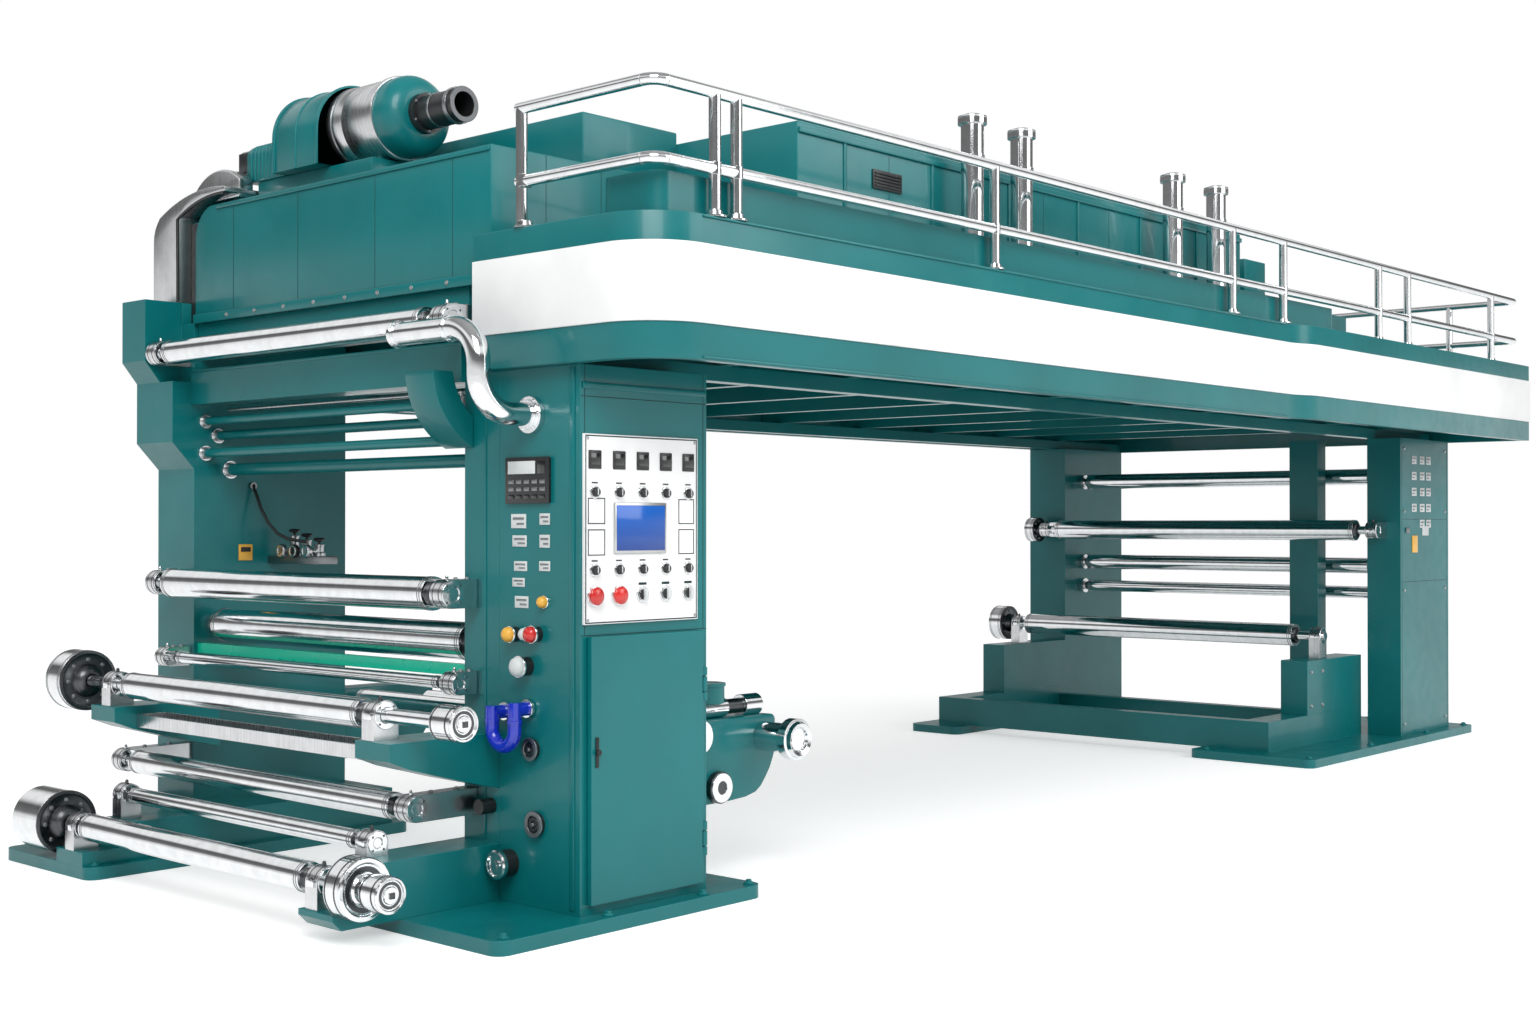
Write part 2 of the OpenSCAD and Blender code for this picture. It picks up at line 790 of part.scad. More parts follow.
module far_low_roller() {
    color(chrome) place()
        roller(far_low_at, guide_roller_d + 20, far_in + 60, y_drive - 80, far_in + seat_gap, y_drive - seat_gap);
}

module far_wind_roller() {
    color(chrome) place() {
        roller(far_wind_at, 160, far_in + 300, y_drive - 20, far_op - 20, y_drive + 290);
        bar_y(far_wind_at, drum_d - 20, y_drive + 180, y_drive + 290);
    }
}

near_base_plates();
operator_side_base();
drive_side_base();
operator_side_frame();
drive_side_frame();
operator_cabinet();
cabinet_door();
control_panel();
side_instruments();
front_crossbeam();
unwind_arms();
near_bearings();
coating_tray();
doctor_blade();
valve_cluster();
upper_roller();
nip_roller();
print_cylinder();
doctor_roller();
unwind_roller();
tray_roller();
lower_roller();
guide_roller();
rewind_roller();
dancer_guard();
bent_pipe();
ink_hose();
rear_arm();
rear_roller();
head_housing();
head_edge_band();
blower_base();
blower_scroll();
blower_drum();
outlet_pipe();
bridge_fascia();
fascia_band();
bridge_ribs();
bridge_chords();
bridge_deck();
walkway_curb();
drying_tunnel();
exhaust_stacks();
roof_valves();
rail_front();
rail_near_end();
rail_far_end();
far_base();
far_operator_column();
far_drive_frame();
far_post();
far_cradle();
far_bearings();
far_top_roller();
far_main_roller();
far_mid_roller();
far_low_roller();
far_wind_roller();
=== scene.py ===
"""Looks for a film printing line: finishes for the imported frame, fine fittings, studio and camera."""

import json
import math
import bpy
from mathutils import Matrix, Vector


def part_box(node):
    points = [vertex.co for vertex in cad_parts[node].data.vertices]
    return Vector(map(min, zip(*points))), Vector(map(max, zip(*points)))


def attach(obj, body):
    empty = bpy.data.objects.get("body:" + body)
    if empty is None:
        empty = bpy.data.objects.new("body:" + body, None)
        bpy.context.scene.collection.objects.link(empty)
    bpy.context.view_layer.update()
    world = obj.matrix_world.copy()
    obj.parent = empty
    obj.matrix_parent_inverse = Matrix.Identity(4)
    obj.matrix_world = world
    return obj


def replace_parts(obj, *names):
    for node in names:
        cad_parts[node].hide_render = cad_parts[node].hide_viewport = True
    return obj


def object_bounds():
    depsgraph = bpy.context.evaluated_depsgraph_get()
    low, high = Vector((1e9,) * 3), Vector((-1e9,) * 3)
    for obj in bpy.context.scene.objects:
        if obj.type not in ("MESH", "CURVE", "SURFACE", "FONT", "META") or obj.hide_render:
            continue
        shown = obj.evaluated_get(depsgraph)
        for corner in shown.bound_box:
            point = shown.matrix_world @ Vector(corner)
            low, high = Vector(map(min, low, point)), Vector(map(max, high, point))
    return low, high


bl_info = {
    "name": "Film Printing Line", "version": (1, 0, 0), "blender": (4, 5, 0),
    "location": "3D View > Sidebar > Printing Line",
    "description": "Finishes and fine fittings for a film printing line", "category": "Object",
}

import bmesh
import bpy
from bpy.props import FloatProperty, FloatVectorProperty, PointerProperty
from mathutils import Matrix, Vector

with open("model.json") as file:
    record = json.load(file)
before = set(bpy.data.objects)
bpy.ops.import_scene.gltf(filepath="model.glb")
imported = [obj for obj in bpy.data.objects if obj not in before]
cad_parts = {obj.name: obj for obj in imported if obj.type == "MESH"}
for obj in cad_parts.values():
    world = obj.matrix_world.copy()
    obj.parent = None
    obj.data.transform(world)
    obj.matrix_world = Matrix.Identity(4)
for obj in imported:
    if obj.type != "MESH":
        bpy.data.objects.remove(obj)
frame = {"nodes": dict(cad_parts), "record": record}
NODES = frame["nodes"]
CAD_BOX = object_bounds()

ROOT = "machine"
PHOTO_SIZE = (1536, 1024)
PHOTO_FOCUS_PX = 1787.9
SENSOR_MM = 36.0
MM = 0.001
SHARP = math.radians(35.0)
FLOOR_GLOW = 0.46
# Inner faces of the near tower's operator and drive side frames, in millimetres across the line
OPERATOR_FACE = 717.0
DRIVE_FACE = 2856.0

ALONG = Vector((1.0, 0.0, 0.0))
ACROSS = Vector((0.0, 1.0, 0.0))
UP = Vector((0.0, 0.0, 1.0))

# The near operator corner of the operator cabinet on the floor
CORNER = Vector((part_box("operator_cabinet")[0].x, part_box("control_panel")[1].y, 0.0))
CAMERA_FROM_CORNER = Vector((-4.762, -5.240, 1.600))
CAMERA_YAW = math.radians(41.74)
CAMERA_PITCH = math.radians(0.41)

# The axis of each body that turns
AXES = {joint["child"]: Vector(joint["pos_m"]) for joint in frame["record"]["behaviour"]["joints"]}


def spot(x, y, z):
    """A point in millimetres from the cabinet's near operator corner on the floor."""
    return CORNER + Vector((x, y, z)) * MM


def local(node):
    """The lowest and highest corner of a node in millimetres from the cabinet's corner."""
    low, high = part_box(node)
    return (low - CORNER) / MM, (high - CORNER) / MM


class LineColours(bpy.types.PropertyGroup):
    """Colours and finishes of the line."""

    teal: FloatVectorProperty(
        name="Teal", description="Paint of the frames", subtype="COLOR", size=3, min=0.0, max=1.0,
        default=(0.0, 0.150, 0.158),
    )
    white: FloatVectorProperty(
        name="White", description="Paint of the band and the panel", subtype="COLOR", size=3, min=0.0,
        max=1.0, default=(0.86, 0.87, 0.87),
    )
    mint: FloatVectorProperty(
        name="Mint", description="Paint of the doctor blade", subtype="COLOR", size=3, min=0.0, max=1.0,
        default=(0.0, 0.56, 0.36),
    )
    chrome: FloatVectorProperty(
        name="Chrome", description="Rollers and rails", subtype="COLOR", size=3, min=0.0, max=1.0,
        default=(0.80, 0.82, 0.83),
    )
    chrome_roughness: FloatProperty(
        name="Chrome roughness", description="Roughness of rollers and rails", default=0.10, min=0.0, max=1.0,
    )


class LineSizes(bpy.types.PropertyGroup):
    """Sizes of the fine fittings."""

    bolt_radius: FloatProperty(
        name="Bolt radius", description="Radius of the hexagon heads", subtype="DISTANCE", default=0.011,
        min=0.002,
    )
    seam_width: FloatProperty(
        name="Seam width", description="Width of the seams between sheets", subtype="DISTANCE", default=0.003,
        min=0.001,
    )
    seam_depth: FloatProperty(
        name="Seam depth", description="How far seam strips stand off the sheet", subtype="DISTANCE",
        default=0.0008, min=0.0002,
    )


class Form:
    """A mesh in the making, joined from turned, boxed, cut and swept shapes."""

    def __init__(self):
        self.mesh = bmesh.new()

    def take(self, shape, finish):
        """Adds a shape with one finish and clean, outward faces."""
        bmesh.ops.remove_doubles(shape, verts=shape.verts, dist=1e-6)
        bmesh.ops.recalc_face_normals(shape, faces=shape.faces)
        for face in shape.faces:
            face.material_index = finish
        data = bpy.data.meshes.new("shape")
        shape.to_mesh(data)
        shape.free()
        self.mesh.from_mesh(data)
        bpy.data.meshes.remove(data)

    def turn(self, profile, origin, axis, steps=40, finish=0, closed=False):
        """Spins a half profile of (radius, distance along the axis) points round an axis."""
        shape = bmesh.new()
        axis = Vector(axis).normalized()
        side = axis.orthogonal().normalized()
        points = [shape.verts.new(origin + side * radius + axis * along) for radius, along in profile]
        pairs = list(zip(points, points[1:]))
        if closed:
            pairs.append((points[-1], points[0]))
        edges = [shape.edges.new(pair) for pair in pairs]
        bmesh.ops.spin(
            shape, geom=points + edges, cent=origin, axis=axis, angle=math.tau, steps=steps, use_merge=True,
        )
        self.take(shape, finish)

    def rod(self, start, end, radius, steps=32, finish=0, chamfer=0.0015):
        """A round bar with chamfered ends."""
        axis = end - start
        length = axis.length
        self.turn(
            [(0.0, 0.0), (radius - chamfer, 0.0), (radius, chamfer), (radius, length - chamfer),
             (radius - chamfer, length), (0.0, length)],
            start, axis, steps, finish,
        )

    def ring(self, origin, axis, inner, outer, depth, steps=40, finish=0, chamfer=0.0012):
        """A flat ring whose back lies at the origin."""
        self.turn(
            [(inner, 0.0), (outer, 0.0), (outer, depth - chamfer), (outer - chamfer, depth),
             (inner + chamfer, depth), (inner, depth - chamfer)],
            origin, axis, steps, finish, closed=True,
        )

    def round_off(self, shape, bevel, segments):
        """Rounds the sharp edges of a shape."""
        sharp = [edge for edge in shape.edges if edge.calc_face_angle(0.0) > SHARP]
        bmesh.ops.bevel(
            shape, geom=sharp, offset=bevel, affect="EDGES", segments=segments, profile=0.5, material=-1,
            clamp_overlap=True,
        )

    def block(self, low, high, bevel=0.002, finish=0, segments=2):
        """A box between two corners with rounded edges."""
        shape = bmesh.new()
        bmesh.ops.create_cube(shape, size=1.0)
        bmesh.ops.scale(shape, vec=high - low, verts=shape.verts)
        bmesh.ops.translate(shape, vec=(low + high) / 2, verts=shape.verts)
        if bevel:
            self.round_off(shape, bevel, segments)
        self.take(shape, finish)

    def slab(self, low, high, bevel=0.002, finish=0, segments=2):
        """A box between two corners given in millimetres."""
        self.block(spot(*low), spot(*high), bevel, finish, segments)

    def plate(self, outline, thickness, bevel=0.002, finish=0):
        """A plate cut to an outline of points and thickened along a vector, its rims bevelled."""
        shape = bmesh.new()
        face = shape.faces.new([shape.verts.new(point) for point in outline])
        made = bmesh.ops.extrude_face_region(shape, geom=[face])
        moved = [item for item in made["geom"] if isinstance(item, bmesh.types.BMVert)]
        bmesh.ops.translate(shape, vec=thickness, verts=moved)
        if bevel:
            self.round_off(shape, bevel, 2)
        self.take(shape, finish)

    def pipe(self, points, radius, steps=16, finish=0):
        """A round section swept along points."""
        shape = bmesh.new()
        heading = (points[1] - points[0]).normalized()
        place = Matrix.Translation(points[0]) @ heading.to_track_quat("Z", "Y").to_matrix().to_4x4()
        bmesh.ops.create_circle(shape, cap_ends=True, radius=radius, segments=steps, matrix=place)
        edges = list(shape.edges)
        for here, (last, point) in enumerate(zip(points, points[1:])):
            made = bmesh.ops.extrude_edge_only(shape, edges=edges)
            ring = [item for item in made["geom"] if isinstance(item, bmesh.types.BMVert)]
            inside = set(ring)
            edges = [edge for edge in shape.edges if edge.verts[0] in inside and edge.verts[1] in inside]
            bmesh.ops.translate(shape, vec=point - last, verts=ring)
            if here + 2 < len(points):
                ahead = (points[here + 2] - last).normalized()
            else:
                ahead = (point - last).normalized()
            bmesh.ops.rotate(
                shape, cent=point, matrix=heading.rotation_difference(ahead).to_matrix(), verts=ring,
            )
            heading = ahead
        bmesh.ops.contextual_create(shape, geom=edges)
        self.take(shape, finish)

    def bolt(self, at, axis, radius, washer=True, finish=0):
        """A hexagon head on its washer."""
        axis = Vector(axis).normalized()
        lift = radius * 0.25 if washer else 0.0
        if washer:
            self.turn(
                [(0.0, 0.0), (radius * 1.35, 0.0), (radius * 1.35, lift), (0.0, lift)], at, axis, 14, finish,
            )
        self.turn(
            [(0.0, 0.0), (radius, 0.0), (radius, radius * 0.55), (radius * 0.85, radius * 0.7),
             (0.0, radius * 0.7)],
            at + axis * lift, axis, 6, finish,
        )

    def bolts(self, at, axis, reach, count, radius, start=0.0, washer=True, finish=0):
        """A circle of hexagon heads round an axis; the first stands at an angle in degrees."""
        first, second = [unit for unit in (ALONG, ACROSS, UP) if not axis.dot(unit)]
        for number in range(count):
            angle = math.radians(start + number * 360 / count)
            offset = (first * math.cos(angle) + second * math.sin(angle)) * reach
            self.bolt(at + offset, axis, radius, washer, finish)

    def done(self, name, finishes, body=ROOT, smooth=38.0):
        """Turns the form into a piece that rides on a body."""
        data = bpy.data.meshes.new(name)
        self.mesh.to_mesh(data)
        self.mesh.free()
        data.shade_smooth()
        data.set_sharp_from_angle(angle=math.radians(smooth))
        for finish in finishes:
            data.materials.append(MATERIALS[finish])
        made = bpy.data.objects.new(name, data)
        bpy.context.scene.collection.objects.link(made)
        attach(made, body)
        return made


# Shader groups
GROUPS = {}
MATERIALS = {}


def new_group(name, inputs, outputs):
    """An empty shader group with its sockets."""
    tree = bpy.data.node_groups.new(name, "ShaderNodeTree")
    for label, kind, value in inputs:
        socket = tree.interface.new_socket(name=label, in_out="INPUT", socket_type=kind)
        socket.default_value = value
    for label, kind in outputs:
        tree.interface.new_socket(name=label, in_out="OUTPUT", socket_type=kind)
    GROUPS[name] = tree
    return tree, tree.nodes.new("NodeGroupInput"), tree.nodes.new("NodeGroupOutput")


def maths(tree, operation, first, second=None, clamp=False):
    """A maths node fed by sockets or numbers."""
    node = tree.nodes.new("ShaderNodeMath")
    node.operation = operation
    node.use_clamp = clamp
    for socket, value in zip(node.inputs, (first, second)):
        if value is None:
            continue
        if isinstance(value, (int, float)):
            socket.default_value = value
        else:
            tree.links.new(value, socket)
    return node.outputs[0]


def spread(tree, value, low, high, to_low, to_high):
    """Maps a value from one range to another and clamps it."""
    node = tree.nodes.new("ShaderNodeMapRange")
    for label, number in (("From Min", low), ("From Max", high), ("To Min", to_low), ("To Max", to_high)):
        if isinstance(number, (int, float)):
            node.inputs[label].default_value = number
        else:
            tree.links.new(number, node.inputs[label])
    tree.links.new(value, node.inputs["Value"])
    return node.outputs["Result"]


def noise(tree, scale, detail=3.0, stretch=(1.0, 1.0, 1.0)):
    """Noise on object coordinates, stretched along the axes."""
    place = tree.nodes.new("ShaderNodeTexCoord")
    mapping = tree.nodes.new("ShaderNodeMapping")
    mapping.inputs["Scale"].default_value = stretch
    texture = tree.nodes.new("ShaderNodeTexNoise")
    texture.inputs["Detail"].default_value = detail
    if isinstance(scale, (int, float)):
        texture.inputs["Scale"].default_value = scale
    else:
        tree.links.new(scale, texture.inputs["Scale"])
    tree.links.new(place.outputs["Object"], mapping.inputs["Vector"])
    tree.links.new(mapping.outputs["Vector"], texture.inputs["Vector"])
    return texture.outputs["Fac"]


def edge_group():
    """Rounds hard edges in the shading and masks where they are; paint() uses the mask for a painted
    highlight on the edges.
    """
    tree, source, result = new_group(
        "rounded_edges", [("Radius", "NodeSocketFloat", 0.004)],
        [("Mask", "NodeSocketFloat"), ("Normal", "NodeSocketVector")],
    )
    bevel = tree.nodes.new("ShaderNodeBevel")
    bevel.samples = 4
    tree.links.new(source.outputs["Radius"], bevel.inputs["Radius"])
    plain = tree.nodes.new("ShaderNodeNewGeometry")
    dot = tree.nodes.new("ShaderNodeVectorMath")
    dot.operation = "DOT_PRODUCT"
    tree.links.new(bevel.outputs["Normal"], dot.inputs[0])
    tree.links.new(plain.outputs["Normal"], dot.inputs[1])
    tree.links.new(spread(tree, dot.outputs["Value"], 1.0, 0.80, 0.0, 1.0), result.inputs["Mask"])
    tree.links.new(bevel.outputs["Normal"], result.inputs["Normal"])


def wear_group():
    """Slow and fine variation of a paint or a metal, and the height of its surface."""
    tree, source, result = new_group(
        "surface_variation", [("Scale", "NodeSocketFloat", 1.0)],
        [("Slow", "NodeSocketFloat"), ("Fine", "NodeSocketFloat"), ("Height", "NodeSocketFloat")],
    )
    slow = noise(tree, maths(tree, "MULTIPLY", source.outputs["Scale"], 1.3), 4.0)
    fine = noise(tree, maths(tree, "MULTIPLY", source.outputs["Scale"], 9.0), 6.0)
    peel = noise(tree, maths(tree, "MULTIPLY", source.outputs["Scale"], 260.0), 1.0)
    tree.links.new(spread(tree, slow, 0.3, 0.7, 0.0, 1.0), result.inputs["Slow"])
    tree.links.new(spread(tree, fine, 0.35, 0.65, 0.0, 1.0), result.inputs["Fine"])
    tree.links.new(peel, result.inputs["Height"])


def lathe_group():
    """Fine turning marks round an axis that lies across the line."""
    tree, source, result = new_group(
        "turning_marks", [("Scale", "NodeSocketFloat", 1.0)], [("Marks", "NodeSocketFloat")],
    )
    marks = noise(tree, maths(tree, "MULTIPLY", source.outputs["Scale"], 40.0), 4.0, (0.02, 6.0, 0.02))
    tree.links.new(marks, result.inputs["Marks"])


def place_group(tree, name, **values):
    """Places a shader group in a material with its own values."""
    node = tree.nodes.new("ShaderNodeGroup")
    node.node_tree = GROUPS[name]
    for label, value in values.items():
        node.inputs[label].default_value = value
    return node


def new_material(name):
    """An empty node material with its Principled shader."""
    material = bpy.data.materials.new(name)
    material.use_nodes = True
    tree = material.node_tree
    MATERIALS[name] = material
    return tree, tree.nodes["Principled BSDF"]


def blend(tree, factor, first, second):
    """Mixes two colours; each is a colour or a socket."""
    node = tree.nodes.new("ShaderNodeMix")
    node.data_type = "RGBA"
    tree.links.new(factor, node.inputs["Factor"])
    for socket, value in ((node.inputs[6], first), (node.inputs[7], second)):
        if isinstance(value, tuple):
            socket.default_value = (*value, 1.0)
        else:
            tree.links.new(value, socket)
    return node.outputs[2]


def tint(colour, amount):
    """A colour made lighter or darker."""
    return tuple(min(1.0, channel * amount + max(0.0, amount - 1.0) * 0.02) for channel in colour)


def bumped(tree, shader, height, strength, distance, normal=None):
    """Feeds a height through a bump node to a shader's normal."""
    bump = tree.nodes.new("ShaderNodeBump")
    bump.inputs["Strength"].default_value = strength
    bump.inputs["Distance"].default_value = distance
    tree.links.new(height, bump.inputs["Height"])
    if normal:
        tree.links.new(normal, bump.inputs["Normal"])
    tree.links.new(bump.outputs["Normal"], shader.inputs["Normal"])


def paint(name, colour, roughness=0.34, edge=1.9, gloss=0.20, radius=0.005, specular=0.30):
    """Paint on sheet metal, with soft edges whose colour is tinted by edge as a painted highlight (painted
    shade where edge is below one), slow variation and a light orange peel.
    """
    tree, shader = new_material(name)
    wear = place_group(tree, "surface_variation", Scale=1.0)
    edges = place_group(tree, "rounded_edges", Radius=radius)
    body = blend(tree, wear.outputs["Slow"], tint(colour, 0.86), tint(colour, 1.10))
    # Painted highlight: the rounded-edge mask tints the paint towards tint(colour, edge), lighter where edge
    # is above one and darker, a painted shade, where it is below one
    painted_edge_light = maths(tree, "MULTIPLY", edges.outputs["Mask"], 0.55)
    tree.links.new(blend(tree, painted_edge_light, body, tint(colour, edge)), shader.inputs["Base Color"])
    tree.links.new(
        spread(tree, wear.outputs["Fine"], 0.0, 1.0, roughness - 0.04, roughness + 0.05),
        shader.inputs["Roughness"],
    )
    shader.inputs["Specular IOR Level"].default_value = specular
    shader.inputs["Coat Weight"].default_value = gloss
    shader.inputs["Coat Roughness"].default_value = 0.10
    bumped(tree, shader, wear.outputs["Height"], 0.10, 0.0004, edges.outputs["Normal"])


def metal(name, colour, roughness, marks=0.0, radius=0.003, dark=0.72):
    """Bare metal with turning marks and slow staining."""
    tree, shader = new_material(name)
    wear = place_group(tree, "surface_variation", Scale=2.0)
    edges = place_group(tree, "rounded_edges", Radius=radius)
    lathe = place_group(tree, "turning_marks", Scale=1.0)
    stained = blend(tree, wear.outputs["Fine"], tint(colour, 0.90), colour)
    lined = maths(tree, "MULTIPLY", spread(tree, lathe.outputs["Marks"], 0.45, 0.75, 0.0, 1.0), marks)
    tree.links.new(blend(tree, lined, stained, tint(colour, dark)), shader.inputs["Base Color"])
    shader.inputs["Metallic"].default_value = 1.0
    tree.links.new(
        spread(tree, lathe.outputs["Marks"], 0.3, 0.7, roughness * 0.8, roughness * 1.3),
        shader.inputs["Roughness"],
    )
    bumped(tree, shader, lathe.outputs["Marks"], 0.06 + 0.2 * marks, 0.0003, edges.outputs["Normal"])


def plastic(name, colour, roughness=0.4, gloss=0.0):
    """Moulded plastic with a fine grain."""
    tree, shader = new_material(name)
    wear = place_group(tree, "surface_variation", Scale=6.0)
    tree.links.new(
        blend(tree, wear.outputs["Slow"], tint(colour, 0.88), tint(colour, 1.12)), shader.inputs["Base Color"]
    )
    tree.links.new(
        spread(tree, wear.outputs["Fine"], 0.0, 1.0, roughness - 0.05, roughness + 0.05),
        shader.inputs["Roughness"],
    )
    shader.inputs["Coat Weight"].default_value = gloss
    bumped(tree, shader, wear.outputs["Height"], 0.15, 0.0002)


def screen(name):
    """A lit operator screen: blue with a paler field, behind glass."""
    tree, shader = new_material(name)
    place = tree.nodes.new("ShaderNodeTexCoord")
    axes = tree.nodes.new("ShaderNodeSeparateXYZ")
    tree.links.new(place.outputs["Object"], axes.inputs["Vector"])
    rise = spread(tree, axes.outputs["Z"], 1.491, 1.683, 0.0, 1.0)
    colour = blend(tree, rise, (0.003, 0.035, 0.20), (0.010, 0.100, 0.42))
    tree.links.new(colour, shader.inputs["Base Color"])
    tree.links.new(colour, shader.inputs["Emission Color"])
    shader.inputs["Emission Strength"].default_value = 0.35
    shader.inputs["Roughness"].default_value = 0.12


def dress(node, finish):
    """Gives a node of the frame its finish."""
    mesh = NODES[node].data
    mesh.materials.clear()
    mesh.materials.append(MATERIALS[finish])


class LINE_OT_studio(bpy.types.Operator):
    """Adds the floor, the lamps, the world and the camera"""

    bl_idname = "line.studio"
    bl_label = "Studio"

    def execute(self, context):
        scene = context.scene
        scene.view_settings.view_transform = "Standard"
        self.floor(scene)
        self.lamps(scene)
        self.world(scene)
        self.camera(scene)
        return {"FINISHED"}

    def rays(self, tree):
        """The light path, and one for rays off a gloss or through a glass."""
        path = tree.nodes.new("ShaderNodeLightPath")
        glossy, through = path.outputs["Is Glossy Ray"], path.outputs["Is Transmission Ray"]
        return path, maths(tree, "MAXIMUM", glossy, through)

    def seen(self, tree):
        """One for rays from the camera and for glossy and transmitted ones, and nought for others."""
        path, gloss = self.rays(tree)
        return maths(tree, "MAXIMUM", path.outputs["Is Camera Ray"], gloss)

    def floor(self, scene):
        mesh = bmesh.new()
        bmesh.ops.create_grid(mesh, x_segments=1, y_segments=1, size=60.0)
        data = bpy.data.meshes.new("studio_floor")
        mesh.to_mesh(data)
        mesh.free()
        floor = bpy.data.objects.new("studio_floor", data)
        scene.collection.objects.link(floor)
        tree, shader = new_material("studio_floor")
        shader.inputs["Base Color"].default_value = (0.80, 0.80, 0.80, 1.0)
        shader.inputs["Roughness"].default_value = 0.9
        glow = tree.nodes.new("ShaderNodeEmission")
        tree.links.new(maths(tree, "MULTIPLY", self.seen(tree), FLOOR_GLOW), glow.inputs["Strength"])
        both = tree.nodes.new("ShaderNodeAddShader")
        tree.links.new(shader.outputs["BSDF"], both.inputs[0])
        tree.links.new(glow.outputs["Emission"], both.inputs[1])
        tree.links.new(both.outputs["Shader"], tree.nodes["Material Output"].inputs["Surface"])
        data.materials.append(MATERIALS["studio_floor"])

    def lamps(self, scene):
        for name, place, aim, size, energy in (
            ("key", (-9.0, -6.0, 8.0), (-2.0, 0.0, 1.5), 5.0, 620.0),
            ("fill", (3.0, -11.0, 6.5), (2.0, 0.0, 1.5), 7.0, 520.0),
        ):
            light = bpy.data.lights.new(name, "AREA")
            light.size = size
            light.energy = energy
            lamp = bpy.data.objects.new(name, light)
            lamp.location = place
            lamp.rotation_euler = (Vector(aim) - Vector(place)).to_track_quat("-Z", "Y").to_euler()
            scene.collection.objects.link(lamp)

    def world(self, scene):
        """White to the camera, plain light on the object, and a banded studio in its reflections."""
        world = bpy.data.worlds.new("studio")
        scene.world = world
        world.use_nodes = True
        tree = world.node_tree
        place = tree.nodes.new("ShaderNodeTexCoord")
        axes = tree.nodes.new("ShaderNodeSeparateXYZ")
        tree.links.new(place.outputs["Generated"], axes.inputs["Vector"])
        bands = tree.nodes.new("ShaderNodeValToRGB")
        stops = bands.color_ramp.elements
        height = spread(tree, axes.outputs["Z"], -1.0, 1.0, 0.0, 1.0)
        tree.links.new(height, bands.inputs["Fac"])
        shades = (
            (0.0, 0.85), (0.49, 0.95), (0.53, 0.95), (0.58, 0.20), (0.68, 0.10), (0.72, 1.0), (0.80, 1.0),
            (0.85, 0.30), (1.0, 0.45),
        )
        for count, (where, shade) in enumerate(shades):
            stop = stops[count] if count < 2 else stops.new(where)
            stop.position = where
            stop.color = (shade, shade, shade, 1.0)
        path, gloss = self.rays(tree)
        plain = blend(tree, path.outputs["Is Camera Ray"], (0.75, 0.75, 0.75), (1.0, 1.0, 1.0))
        tree.links.new(
            blend(tree, gloss, plain, bands.outputs["Color"]), tree.nodes["Background"].inputs["Color"],
        )

    def camera(self, scene):
        data = bpy.data.cameras.new("camera")
        data.sensor_width = SENSOR_MM
        data.lens = PHOTO_FOCUS_PX / PHOTO_SIZE[0] * SENSOR_MM
        camera = bpy.data.objects.new("camera", data)
        camera.location = CORNER + CAMERA_FROM_CORNER
        camera.rotation_euler = (math.pi / 2 + CAMERA_PITCH, 0.0, CAMERA_YAW - math.pi / 2)
        scene.collection.objects.link(camera)
        scene.camera = camera


class LINE_OT_finishes(bpy.types.Operator):
    """Makes the materials and gives each node of the frame its finish"""

    bl_idname = "line.finishes"
    bl_label = "Finishes"

    def execute(self, context):
        colours = context.scene.line_colours
        edge_group()
        wear_group()
        lathe_group()
        # The edge value of each paint sets its painted highlight on rounded edges; white's 0.96 paints its
        # edges a little darker, a painted shade
        paint("teal_paint", tuple(colours.teal))
        paint("white_paint", tuple(colours.white), 0.42, edge=0.96, gloss=0.1)
        paint("mint_paint", tuple(colours.mint), 0.3, edge=1.2)
        paint("black_paint", (0.012, 0.013, 0.014), 0.4, edge=3.0, gloss=0.1)
        metal("chrome", tuple(colours.chrome), colours.chrome_roughness, marks=0.12)
        metal("steel", (0.52, 0.53, 0.54), 0.30, marks=0.5)
        metal("brushed_steel", (0.66, 0.67, 0.68), 0.24, marks=0.45)
        metal("cast_steel", (0.30, 0.31, 0.32), 0.36, marks=0.3, dark=0.5)
        metal("dark_steel", (0.10, 0.105, 0.11), 0.30, marks=0.3)
        metal("band_steel", (0.62, 0.63, 0.64), 0.26, marks=0.4)
        plastic("dark_glass", (0.006, 0.007, 0.008), 0.12, gloss=0.6)
        plastic("dark_plastic", (0.012, 0.013, 0.014), 0.38)
        plastic("blue_plastic", (0.004, 0.020, 0.46), 0.22, gloss=0.6)
        plastic("red_plastic", (0.55, 0.012, 0.008), 0.28, gloss=0.5)
        plastic("yellow_plastic", (0.80, 0.42, 0.05), 0.38, gloss=0.2)
        plastic("pale_plastic", (0.60, 0.63, 0.63), 0.45)
        plastic("seam_shadow", (0.0, 0.022, 0.026), 0.7)
        screen("lit_screen")
        for part in frame["record"]["subparts"]:
            dress(part["node"], FINISH_OF.get(part["node"], part["material_slot"]))
        return {"FINISHED"}


# Nodes whose finish differs from their record slot's own
FINISH_OF = {
    "near_bearings": "brushed_steel", "far_bearings": "brushed_steel", "head_edge_band": "brushed_steel",
    "blower_drum": "brushed_steel", "coating_tray": "brushed_steel",
}


